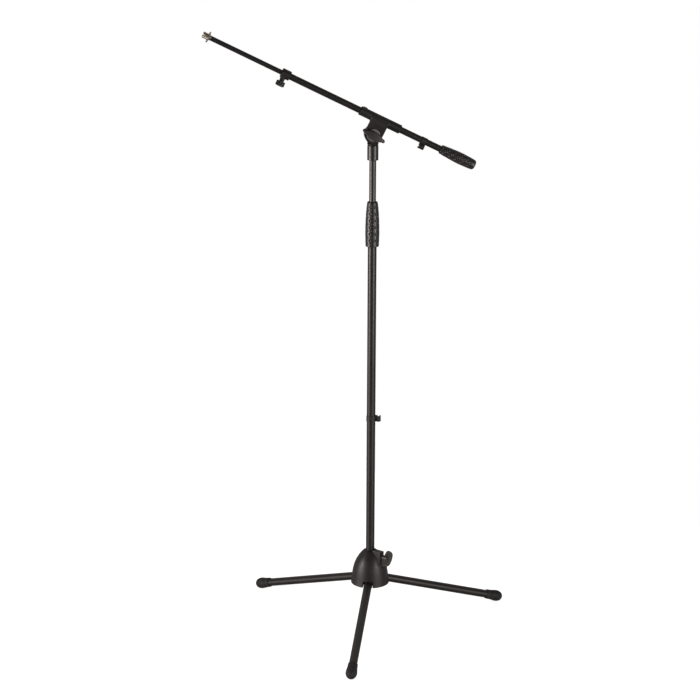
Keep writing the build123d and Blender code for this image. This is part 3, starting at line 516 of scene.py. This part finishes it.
def bell_field(x, y, z):
    """The bell, with z from its rim."""
    r = np.hypot(x, y)
    height = np.clip(z, 0, BELL_HEIGHT)
    lean = np.sqrt(1 + np.polyval(bell_slope, height) ** 2)
    wall = (r - np.polyval(bell_curve, height)) / lean
    body = both(wall, slab(z - BELL_HEIGHT / 2, BELL_HEIGHT / 2), 1.2)
    out, side = round_column(x, y, BOSS_AZIMUTH)
    boss = block(out - 26.2, side, z - 71.5, 12.7, 8.0, 19.5, 1.6)
    body = either(body, boss, 3.5)
    cavity = both(both(wall + WALL, z - 71), 17.5 - r)
    for azimuth in LEG_AZIMUTHS:
        out, side = round_column(x, y, azimuth)
        for cheek in (-CHEEK_MIDDLE, CHEEK_MIDDLE):
            cavity = without(cavity, both(block(out - 32, side - cheek, z - 8, 20, 2, 28), 12 - out))
    body = without(body, cavity, 0.6)
    for azimuth in LEG_AZIMUTHS:
        out, side = round_column(x, y, azimuth)
        notch = both(block(side, z - 1.8, 0 * out, NOTCH_HALF, 15, 50, 3.5), 38 - out)
        body = without(body, notch, 0.9)
        body = without(body, disc(out - LEG_PIN_R, z - LEG_PIN_HEIGHT, 3.0, side, -16.5, 16.5))
    out, side = round_column(x, y, BOSS_AZIMUTH)
    body = without(body, disc(side, z - CLAMP_HEIGHT, 4.3, out, 8, 45))
    body = without(body, disc(side, z - CLAMP_HEIGHT, 6.0, out, 26, 45), 0.4)
    return without(body, r - BORE_R, 0.5)


BELL = COLUMN @ Matrix.Translation((0, 0, RIM))
moulded("base_housing", BELL, bell_field, (-50, -50, 0), (50, 50, BUSH_HEIGHT), 0.75, bell_paint, 0.45)

lathe("base_guide_bush", COLUMN, outline(
    (BORE_R, RIM + 2, 0.4), (BORE_R, RIM + BUSH_HEIGHT, 0.9), (LOWER_SEAT_R, RIM + BUSH_HEIGHT, 0.5),
    (LOWER_SEAT_R, RIM + 2, 0.5)), bush_plastic)

# base clamp: knurled insert, threaded screw and a wing knob with ribbed ears
CLAMP_OUT = joint_axis("base_wing_turn")
CLAMP = local_frame(joint_point("base_wing_turn"), UP.cross(CLAMP_OUT), CLAMP_OUT)


def thread(pitch, depth, low, high):
    """Winds a screw thread into a lathe's outer wall between two heights."""
    def shape(angle, r, z):
        turn = (z / pitch - angle / (2 * np.pi)) % 1
        cut = depth * np.abs(2 * turn - 1)
        fade = np.clip(np.minimum(z - low, high - z) / (0.5 * pitch), 0, 1)
        return r - cut * fade, z
    return shape


def knurl(count, depth, least_r):
    """Fine straight ridges round a lathe's wall outside some radius."""
    def shape(angle, r, z):
        return np.where(r > least_r, r - depth * (0.5 - 0.5 * np.cos(count * angle)), r), z
    return shape


def screw_profile(radius, low, high, spacing):
    wall = [(radius, z) for z in np.arange(low + 0.6, high - 0.6, spacing)]
    return [(0, low), (radius - 0.6, low), *wall, (radius, high - 0.6), (radius - 0.6, high), (0, high)]


lathe("base_clamp_screw", CLAMP, screw_profile(4.0, -29.7, 9.0, 0.18), black_steel, 64,
      thread(1.25, 0.6, -29, 8.6))
lathe("base_clamp_insert", CLAMP, outline(
    (6.0, -19.0, 0.4), (6.0, -6.4, 0.4), (4.08, -6.4, 0.3), (4.08, -19.0, 0.3)), black_steel, 144,
    knurl(36, 0.25, 5.9))

HALF_WING = [
    (6, 0.6), (12, 1.2), (17, 2.8), (20.2, 5.8), (20.8, 10.5), (19.4, 15.7), (15.2, 21.2), (7.5, 23.2)
]
WING = HALF_WING + [(0, 23.8)] + [(-x, y) for x, y in reversed(HALF_WING)]
WING_LEAN = math.radians(30)
RIB_SPACING = 3.2
RIB_DEPTH = 0.8
BORDER = 2.2


def wing_field(x, y, z):
    """Hub with a half-moon wing whose faces carry slanting ribs inside a plain border."""
    hub = both(np.hypot(x, y) - 6.6, slab(z - 4.4, 8.0), 1.0)
    along = x * math.sin(WING_LEAN) + y * math.cos(WING_LEAN)
    across = x * math.cos(WING_LEAN) - y * math.sin(WING_LEAN)
    flat = inside_polygon(along, z, WING)
    waves = 0.5 + 0.5 * np.cos((z - 0.7 * along) * 2 * np.pi / RIB_SPACING)
    sunk = (RIB_DEPTH + 0.1 - RIB_DEPTH * waves) * np.clip((-flat - BORDER) / 0.8, 0, 1)
    wing = both(flat, np.abs(across) - 3.4 + sunk, 1.2)
    return without(either(hub, wing, 1.5), disc(x, y, 4.0, z, -5, 9.0))


# the wing knob takes the lighter plastic, a painted highlight
moulded("base_wing_knob", CLAMP, wing_field, (-14, -22, -3.6), (14, 22, 23.8), 0.35, painted_highlight_plastic, 0.5)

# ------------------------------------------------------------------ legs
LEG_TUBE_R = 10.4
LEG_LENGTH = 368.0
TUBE_END = LEG_LENGTH - 12
COLLAR_END = LEG_LENGTH - 48


def hinge_field(x, y, z):
    """Eye round the pin, a block against the tube and a spigot inside it."""
    shape = disc(y, z, 10.0, x, -10.2, 10.2, 1.0)
    shape = either(shape, block(x, y, z - 6, 10.2, 10, 6, 1.0), 1.0)
    shape = either(shape, disc(y, z, 6.5, x, -12.2, 12.2, 0.4), 0.8)
    shape = either(shape, disc(x, y, 9.0, z, 0, 42, 0.8))
    return without(shape, np.hypot(y, z) - 3.08, 0.4)


def foot_profile():
    """Bulb with a shallow ring of grooves and a collar with a rolled edge."""
    knots = [(3.4, 367.7), (6.6, 366.6), (10.4, 363.4), (13.0, 358.5), (14.2, 354), (14.5, 350), (14.1, 344),
             (13.3, 338), (12.7, 333)]
    bulb = curve_through(knots, 0.6)[::-1]
    groove = [(12.2, 330.3), (11.9, 331.0), (11.9, 331.9), (12.2, 332.4)]
    seat = LEG_TUBE_R + 0.05
    collar = [(seat, COLLAR_END + 0.4), (10.8, COLLAR_END), (11.8, COLLAR_END), (12.3, COLLAR_END + 0.5),
              (12.65, 329.5), (12.5, 330.0)]
    return [(0, TUBE_END), (seat, TUBE_END)] + collar + groove + bulb + [(0, LEG_LENGTH)]


for number in (1, 2, 3):
    leg = leg_frame(number)
    moulded(f"leg_hinge_{number}", leg, hinge_field, (-15, -10.5, -10.5), (15, 10.5, 42.5), 0.6,
            cast_paint, 0.5)
    lathe(f"leg_tube_{number}", leg, tube_profile(LEG_TUBE_R, LEG_TUBE_R - 1.3, 12, TUBE_END), leg_paint)
    foot = lathe(f"rubber_foot_{number}", leg, foot_profile(), foot_rubber, 144)
    # the bulb stands flat on the floor
    for vertex in foot.data.vertices:
        vertex.co.z = max(vertex.co.z, 0)

# ------------------------------------------------------------------ column
LOWER_BOTTOM = RIM - 0.3
lathe("lower_tube", COLUMN, tube_profile(LOWER_R, LOWER_R - 1.5, LOWER_BOTTOM, 1045), column_paint)
lathe("upper_tube", COLUMN, tube_profile(8.5, 7.3, 352, 1256), slider_paint)
lathe("lower_tube_plug", COLUMN, outline(
    (0, LOWER_BOTTOM - 3, 0), (12.6, LOWER_BOTTOM - 3, 0.8), (12.6, LOWER_BOTTOM, 0.4),
    (9.5, LOWER_BOTTOM, 0.2), (9.5, LOWER_BOTTOM + 15, 0.6), (0, LOWER_BOTTOM + 15, 0)), knob_plastic)

DIMPLE_R = 3.0
DIMPLE_DEPTH = 1.4
DIMPLE_PITCH = 17.0


def dimples(columns, first, last):
    """Round hollows in staggered columns round a grip, between two heights."""
    def shape(angle, r, z):
        depth = np.zeros_like(r)
        for column in range(columns):
            middle = 2 * np.pi * column / columns
            across = (angle - middle + np.pi) % (2 * np.pi) - np.pi
            shift = DIMPLE_PITCH / 2 * (column % 2)
            centre = first + shift
            nearest = centre + DIMPLE_PITCH * np.round((z - centre) / DIMPLE_PITCH)
            inside = (nearest >= first - 0.1) & (nearest <= last)
            gap = np.hypot(r * across, z - nearest)
            hollow = np.sqrt(np.clip(1 - (gap / DIMPLE_R) ** 2, 0, 1))
            depth = np.maximum(depth, np.where(inside & (r > 9.5), hollow, 0))
        return r - DIMPLE_DEPTH * depth, z
    return shape


GRIP_LOW = 1004.4
GRIP_HIGH = 1116.9
grip_wall = curve_through([(16.8, 1005.6), (17.2, 1020.4), (17.6, 1037.4), (17.4, 1054.4), (16.9, 1071.4),
                           (16.1, 1086.4), (14.9, 1101.4), (13.1, 1115.7)], 0.45)
lathe("clutch_grip", COLUMN,
      [(13.1, 1060.0), (13.5, 1058.0), (13.5, GRIP_LOW + 0.4), (13.8, GRIP_LOW), (15.9, GRIP_LOW)]
      + grip_wall + [(12.3, GRIP_HIGH), (11.0, GRIP_HIGH), (10.6, GRIP_HIGH - 0.4), (10.6, GRIP_HIGH - 6),
                     (11.2, GRIP_HIGH - 8), (13.1, 1063.5)],
      grip_plastic, 288, dimples(16, GRIP_LOW + 8, GRIP_HIGH - 6))


def clip_field(tube_r, hook_angle, mouth_side):
    """Spring clip round a tube with an open hook for the cable."""
    ring_r, hook_r, hook_x = tube_r + 1.9, 6.3, tube_r + 7.5
    turn = math.radians(hook_angle)

    def field(x, y, z):
        u = x * math.cos(turn) + y * math.sin(turn)
        v = y * math.cos(turn) - x * math.sin(turn)
        shape = either(np.hypot(u, v) - ring_r, np.hypot(u - hook_x, v) - hook_r, 2.0)
        shape = without(shape, np.hypot(u, v) - tube_r - 0.08)
        shape = without(shape, np.hypot(u - hook_x, v) - 4.3)
        mouth = both(slab(u - hook_x - 0.4, 2.3), slab(v - 4 * mouth_side, 4))
        gap = both(slab(u + ring_r, ring_r / 2), slab(v, 0.45 * tube_r))
        shape = without(without(shape, mouth, 0.4), gap, 0.4)
        return both(shape, slab(z, 7.5), 0.5)
    return field


moulded("column_cable_clip", COLUMN @ Matrix.Translation((0, 0, 555)), clip_field(LOWER_R, -4, 1),
        (-14, -14, -7.6), (26, 14, 7.6), 0.3, knob_plastic, 0.5)

# ------------------------------------------------------------------ head and pivot
SOCKET_LOW = 1222.4
SOCKET_HIGH = 1258.6
SOCKET_R = 13.8
lathe("head_socket", COLUMN, outline(
    (SOCKET_R, SOCKET_LOW, 0.9), (SOCKET_R, SOCKET_HIGH, 0.6), (4.75, SOCKET_HIGH, 0.2),
    (4.75, SOCKET_HIGH - 4, 0.2), (8.5, SOCKET_HIGH - 4, 0.2), (8.5, SOCKET_LOW, 0.5)), slider_paint)
PIVOT_R = 21.8
PIVOT_HALF = 13.5
FRICTION_HALF = 0.8
NECK_LOW = -27.8        # below the pivot
NECK_GROOVE = 2.4
NECK_TOP = -PIVOT_R - 0.4


def neck_field(x, y, z):
    """Round neck that runs up behind the friction face into the round half of the pivot."""
    neck = disc(x, z, SOCKET_R, y, NECK_LOW + NECK_GROOVE, NECK_TOP, 0.5)
    neck = either(neck, disc(x, z, 11.5, y, NECK_LOW, NECK_LOW + NECK_GROOVE + 1))
    root = disc(x, z, SOCKET_R, y, NECK_TOP - 2, -7)
    half = disc(x, y, PIVOT_R, z, -PIVOT_HALF, -FRICTION_HALF, 1.0)
    upper = both(either(root, half, 3.0), z + FRICTION_HALF)
    body = either(neck, upper, 0.8)
    body = without(body, both(-FRICTION_HALF - z, NECK_TOP - y))
    return without(body, np.hypot(x, y) - 4.0)


moulded("swivel_neck", PIVOT, neck_field, (-22, -28.5, -14), (22, 22, 14), 0.5, neck_plastic, 0.4)
lathe("friction_disc", PIVOT, outline(
    (4.0, -FRICTION_HALF, 0.1), (17.5, -FRICTION_HALF, 0.2), (17.5, 0.75, 0.2), (4.0, 0.75, 0.1)),
    bush_plastic)


def hexagon(corner_r, high):
    """Six flats round the head of a bolt, below some height."""
    def shape(angle, r, z):
        flat = math.cos(math.pi / 6) / np.cos((angle % (math.pi / 3)) - math.pi / 6)
        return np.where((z < high + 0.01) & (r > 5), np.minimum(r, corner_r * flat), r), z
    return shape


lathe("pivot_bolt", PIVOT, [
    (0, -18.8), (6.0, -18.8), (6.5, -18.7), (7.5, -18.1), (7.5, -17), (7.5, -15), (7.5, -14.2),
    (6.8, -PIVOT_HALF), (4.0, -PIVOT_HALF), (4.0, 28.6), (3.4, 29.2), (0, 29.2)], zinc_steel, 144,
    hexagon(7.5, -PIVOT_HALF))
WASHER_TOP = PIVOT_HALF + 2.5
lathe("pivot_washer", PIVOT, outline(
    (4.08, PIVOT_HALF, 0.3), (16.0, PIVOT_HALF, 0.4), (16.0, WASHER_TOP, 0.8), (4.08, WASHER_TOP, 0.3)),
    washer_steel)

KNOB_SLOPE = math.radians(-31)
KNOB_BACK = 16.3
KNOB_TIP = 27.0         # from the middle to where the two arcs of the lens are cut off
KNOB_HALF = 10.8
LENS_RISE = KNOB_HALF - 2.2
LENS_R = (KNOB_TIP**2 + LENS_RISE**2) / (2 * LENS_RISE)
LENS_SHIFT = LENS_R - KNOB_HALF
KNOB_DRAFT = 0.052      # how much the wing narrows per millimetre of height


def pivot_knob_field(x, y, z):
    """Lens-shaped wing with a round lobe at each end, on a round hub."""
    u = x * math.cos(KNOB_SLOPE) + y * math.sin(KNOB_SLOPE)
    v = y * math.cos(KNOB_SLOPE) - x * math.sin(KNOB_SLOPE)
    lens = np.maximum(np.hypot(u, v + LENS_SHIFT) - LENS_R, np.hypot(u, v - LENS_SHIFT) - LENS_R)
    lens = both(lens, np.abs(u) - KNOB_TIP)
    wing = either(lens, np.hypot(np.abs(u) - 26.4, v) - 4.5, 1.5)
    top = KNOB_BACK + 17.0 - 3.0 * (u / KNOB_TIP) ** 2
    wing = wing + KNOB_DRAFT * (z - KNOB_BACK - 3)
    body = both(both(wing, z - top, 2.4), KNOB_BACK + 3 - z, 0.8)
    hub = disc(u, v, 9.4, z, KNOB_BACK, KNOB_BACK + 8, 0.5)
    body = either(body, hub, 1.5)
    return without(body, disc(u, v, 6.5, z, KNOB_BACK - 1, KNOB_BACK + 13.6))


# the pivot's wing knob takes the lighter plastic, a painted highlight
moulded("pivot_wing_knob", PIVOT, pivot_knob_field, (-28, -21, KNOB_BACK), (28, 21, KNOB_BACK + 17.5), 0.4,
        painted_highlight_plastic, 0.45)

# ------------------------------------------------------------------ boom holder
SLEEVE_BACK = -55.5
SLEEVE_FRONT = 55.0
BOOM_OFFSET = 39.3
LOCK_T = 41.5
WEB = [(-9.5, 0), (-9.5, -7), (0.8, -15.2), (13.5, -15.2), (13.5, -2), (8, 6)]


def yoke_field(x, y, z):
    """Sleeve, the tongue down to the pivot, the web between them and the lock screw's boss."""
    sleeve = disc(x, y, 11.25, z, SLEEVE_BACK, SLEEVE_FRONT, 1.0)
    half_width = PIVOT_R + 0.4
    flat = np.minimum(np.hypot(z, y + BOOM_OFFSET) - PIVOT_R,
                      both(slab(z, half_width), slab(y + BOOM_OFFSET / 2, BOOM_OFFSET / 2)))
    middle, half = (PIVOT_HALF + FRICTION_HALF) / 2, (PIVOT_HALF - FRICTION_HALF) / 2
    tongue = both(flat, slab(x - middle, half), 1.0)
    web = both(inside_polygon(x, y, WEB), slab(z, half_width), 0.8)
    body = either(sleeve, either(tongue, web, 0.5), 3.0)
    body = either(body, disc(y, z - LOCK_T, 6.8, x, -15.5, -8, 0.6), 1.5)
    body = without(body, both(x - FRICTION_HALF, y + 15.2))
    body = without(body, np.hypot(x, y) - 9.6, 0.4)
    body = without(body, disc(y, z - LOCK_T, 5.0, x, -17, -11.7), 0.3)
    return without(body, np.hypot(z, y + BOOM_OFFSET) - 4.08)


moulded("boom_yoke", BOOM, yoke_field, (-15.6, -62, -56), (14, 12, 55.5), 0.55, knob_plastic, 0.4)
lathe("boom_sleeve_liner", BOOM, outline(
    (9.55, SLEEVE_BACK + 1, 0.3), (9.55, SLEEVE_FRONT - 1, 0.3), (8.08, SLEEVE_FRONT - 1, 0.4),
    (8.08, SLEEVE_BACK + 1, 0.4)), bush_plastic)


def scallops(count, outer, scoop_r, scoop_out):
    """Finger hollows round a thumb knob: the wall keeps outside a ring of circles."""
    def shape(angle, r, z):
        apart = 2 * np.pi / count
        near = (angle + apart / 2) % apart - apart / 2
        centre = outer + scoop_out
        under = np.maximum(scoop_r**2 - (centre * np.sin(near)) ** 2, 0)
        limit = np.where(under > 0, centre * np.cos(near) - np.sqrt(under), outer)
        return np.where(r > 6.2, r * np.minimum(1, limit / outer), r), z
    return shape


def thumb_knob(node, matrix, outer, length, depth):
    """A thumb knob with eight hollows, a hub at its back and a dished face."""
    lathe(node, matrix, outline(
        (3.0, 0, 0.2), (5.6, 0, 0.3), (5.6, 1.5, 0.2), (outer, 1.5, 0.7), (outer, length, 1.3),
        (outer - 3.2, length, 0.4), (outer - 4.2, length - 0.7, 0.6), (0, length - 0.9, 0),
        (0, depth, 0), (3.0, depth, 0.2)), knob_plastic, 192, scallops(8, outer, 3.6, 2.6))


LOCK = local_frame(joint_point("boom_lock_turn"), TOWARDS_TIP, joint_axis("boom_lock_turn"))
thumb_knob("boom_lock_knob", LOCK @ Matrix.Translation((0, 0, -1.5)), 10.6, 11.5, 7.0)
lathe("boom_lock_screw", LOCK, screw_profile(3.0, -6.5, 5.5, 0.16), black_steel, 48,
      thread(1.0, 0.5, -6, 5))

# ------------------------------------------------------------------ boom
lathe("boom_outer_tube", BOOM, tube_profile(8.0, 6.8, -255, 256), boom_paint)
lathe("boom_inner_tube", BOOM, tube_profile(6.0, 5.0, 60, 459.5), boom_paint)
HANDLE_FRONT = -167.5
HANDLE_BACK = -262.5
handle_wall = curve_through([(9.0, -262.5), (11.5, -260.5), (13.1, -254.5), (14.1, -237.5), (14.6, -222.5),
                             (14.4, -212.5), (13.4, -195.5), (12.4, -180.5), (11.3, -168.5)], 0.45)
lathe("boom_grip", BOOM,
      [(0, HANDLE_BACK), (4.5, HANDLE_BACK)] + handle_wall + [(10.5, HANDLE_FRONT), (8.4, HANDLE_FRONT),
       (8.0, HANDLE_FRONT - 0.4), (8.0, -255.0), (0, -255.0)],
      grip_plastic, 288, dimples(14, HANDLE_BACK + 13, HANDLE_FRONT - 5))
moulded("boom_cable_clip", BOOM @ Matrix.Translation((0, 0, -120.7)), clip_field(8.0, -83, -1),
        (-11, -23, -7.6), (11, 11, 7.6), 0.3, knob_plastic, 0.5)

COLLAR_LOW = 246.5
COLLAR_HIGH = 269.0
OUTER_END = 256.0
CLAMP_SCREW_T = 261.0
CLAMP_ROLL = math.radians(15)


def collar_field(x, y, z):
    """Clamp collar with the boss of its screw."""
    body = disc(x, y, 11.75, z, COLLAR_LOW, COLLAR_HIGH, 0.9)
    out = x * math.sin(CLAMP_ROLL) - y * math.cos(CLAMP_ROLL)
    side = x * math.cos(CLAMP_ROLL) + y * math.sin(CLAMP_ROLL)
    body = either(body, disc(side, z - CLAMP_SCREW_T, 6.2, out, 6, 18.3, 0.6), 2.0)
    body = without(body, disc(x, y, 8.0, z, COLLAR_LOW - 2, OUTER_END), 0.3)
    body = without(body, disc(x, y, 6.08, z, 250, COLLAR_HIGH + 2), 0.3)
    return without(body, disc(side, z - CLAMP_SCREW_T, 4.6, out, 11.5, 20), 0.3)


moulded("boom_clamp_collar", BOOM, collar_field, (-12, -19, 246), (12, 12, 269.5), 0.4, knob_plastic, 0.5)
KNOB = local_frame(joint_point("extension_knob_turn"), TOWARDS_TIP, joint_axis("extension_knob_turn"))
thumb_knob("boom_clamp_knob", KNOB @ Matrix.Translation((0, 0, -1)), 11.2, 12.8, 8.4)
lathe("boom_clamp_screw", KNOB, screw_profile(3.0, -9.1, 7.4, 0.16), black_steel, 48,
      thread(1.0, 0.5, -9, 7))

# ------------------------------------------------------------------ microphone thread
STUD_R = 7.94
PITCH = 25.4 / 27        # 27 threads to the inch
THREAD_DEPTH = 0.55


def stud_field(x, y, z):
    """Hollow threaded stud with a screwdriver slot across its end."""
    body = either(disc(x, y, 5.0, z, 438.5, 462, 0.3), disc(x, y, 6.6, z, 459.5, 463.5, 0.3))
    body = either(body, disc(x, y, 7.5, z, 463, 468, 0.2))
    wind = (z / PITCH - np.arctan2(y, x) / (2 * np.pi)) % 1
    cut = THREAD_DEPTH * np.abs(2 * wind - 1)
    threaded = both(np.hypot(x, y) - STUD_R + cut, slab(z - 474.15, 6.55), 0.4)
    body = either(body, threaded)
    body = without(body, disc(x, y, 4.76, z, 466, 482), 0.3)
    return without(body, both(slab(y, 1.5), 475.7 - z), 0.15)


moulded("thread_stud", BOOM, stud_field, (-8, -8, 438), (8, 8, 481), 0.2, nickel, 0.35)
lathe("thread_lock_ring", BOOM, outline(
    (7.58, 464.3, 0.15), (13.7, 464.3, 0.5), (13.7, 467.3, 0.5), (7.58, 467.3, 0.15)), nickel, 288,
    knurl(72, 0.22, 13.0))

# ------------------------------------------------------------------ floor, light and camera
FLOOR_GLOW = 0.8
WARM = (1, 0.935, 0.91)
LEFT_WALL = (-64, 1.6)      # azimuth from straight in front, brightness
RIGHT_WALL = (48, 1.1)
DIM_GLOW = 0.1
BACK_GLOW = 0.3
HIGH_GLOW = 0.45
CAMERA_SPOT = (-0.0237, -5.4755, 2.3494)
CAMERA_PITCH = 73.77        # degrees from straight down
CAMERA_ROLL = 0.23
CAMERA_LENS = 117.9


def plain_floor():
    """A plain white round of floor, as bright as the room behind it."""
    radius, corners = 1.25, 96
    ring = [(radius * math.cos(2 * math.pi * k / corners), radius * math.sin(2 * math.pi * k / corners), 0)
            for k in range(corners)]
    mesh = bpy.data.meshes.new("floor")
    mesh.from_pydata(ring, [], [tuple(range(corners))])
    floor = bpy.data.objects.new("floor", mesh)
    bpy.context.scene.collection.objects.link(floor)
    material = bpy.data.materials.new("floor_white")
    material.use_nodes = True
    shader = material.node_tree.nodes["Principled BSDF"]
    shader.inputs["Base Color"].default_value = (0.9, 0.9, 0.9, 1)
    shader.inputs["Roughness"].default_value = 0.9
    shader.inputs["Specular IOR Level"].default_value = 0.1
    shader.inputs["Emission Color"].default_value = (1, 1, 1, 1)
    shader.inputs["Emission Strength"].default_value = FLOOR_GLOW
    mesh.materials.append(material)
    floor.visible_glossy = False


def soft_box(name, azimuth, distance, height, width, tall, power):
    """An upright area lamp facing the column, at an azimuth from straight in front."""
    a = math.radians(azimuth)
    spot = column_foot + Vector((math.sin(a) * distance, -math.cos(a) * distance, height))
    lamp = bpy.data.lights.new(name, "AREA")
    lamp.shape = "RECTANGLE"
    lamp.size = width
    lamp.size_y = tall
    lamp.energy = power
    lamp.color = WARM
    holder = bpy.data.objects.new(name, lamp)
    holder.location = spot
    holder.rotation_euler = (math.radians(90), 0, a)
    holder.visible_camera = False
    bpy.context.scene.collection.objects.link(holder)




def room_light():
    """A dim room with a bright strip of wall to each side and a lighter ceiling far behind."""
    world = bpy.data.worlds.new("white_room")
    world.use_nodes = True
    tree = world.node_tree
    seen = tree.nodes["Background"]
    seen.inputs["Color"].default_value = (1, 1, 1, 1)
    direction = add_node(tree, "ShaderNodeTexCoord").outputs["Generated"]
    parts = add_node(tree, "ShaderNodeSeparateXYZ", {0: direction})

    def plus(a, b, operation="ADD"):
        return add_node(tree, "ShaderNodeMath", {0: a, 1: b}, operation=operation).outputs[0]

    glow = ranged(tree, parts.outputs["Y"], 0.0, 0.7, DIM_GLOW, BACK_GLOW)
    for azimuth, brightness in (LEFT_WALL, RIGHT_WALL):
        a = math.radians(azimuth)
        facing = add_node(tree, "ShaderNodeVectorMath", {
            0: direction, 1: (math.sin(a), -math.cos(a), 0)}, operation="DOT_PRODUCT").outputs["Value"]
        glow = plus(glow, ranged(tree, facing, 0.84, 0.94, 0, brightness))
    glow = plus(glow, ranged(tree, parts.outputs["Z"], 0.3, 0.9, 1, 0.3), "MULTIPLY")
    high = ranged(tree, parts.outputs["Z"], 0.4, 0.72, 0, HIGH_GLOW)
    glow = plus(glow, plus(high, ranged(tree, parts.outputs["Y"], -0.1, 0.5, 0, 1), "MULTIPLY"))
    lit = add_node(tree, "ShaderNodeBackground", {"Color": (*WARM, 1), "Strength": glow})
    eye = add_node(tree, "ShaderNodeLightPath").outputs["Is Camera Ray"]
    choice = add_node(tree, "ShaderNodeMixShader", {0: eye, 1: lit.outputs[0], 2: seen.outputs[0]})
    tree.links.new(choice.outputs[0], tree.nodes["World Output"].inputs["Surface"])
    bpy.context.scene.world = world


def photo_camera():
    """Looks down at the stand from far in front of it, with a long lens."""
    data = bpy.data.cameras.new("camera")
    data.sensor_width = 36
    data.lens = CAMERA_LENS
    camera = bpy.data.objects.new("camera", data)
    pitch = Matrix.Rotation(math.radians(CAMERA_PITCH), 4, "X")
    roll = Matrix.Rotation(math.radians(CAMERA_ROLL), 4, "Z")
    camera.matrix_world = Matrix.Translation(CAMERA_SPOT) @ pitch @ roll
    bpy.context.scene.collection.objects.link(camera)
    bpy.context.scene.camera = camera


plain_floor()
room_light()
soft_box("left_box", -66, 1.9, 0.75, 0.5, 0.9, 16)
soft_box("right_box", 48, 1.9, 0.75, 0.4, 0.9, 9)
bpy.context.scene.view_settings.view_transform = "Standard"
photo_camera()
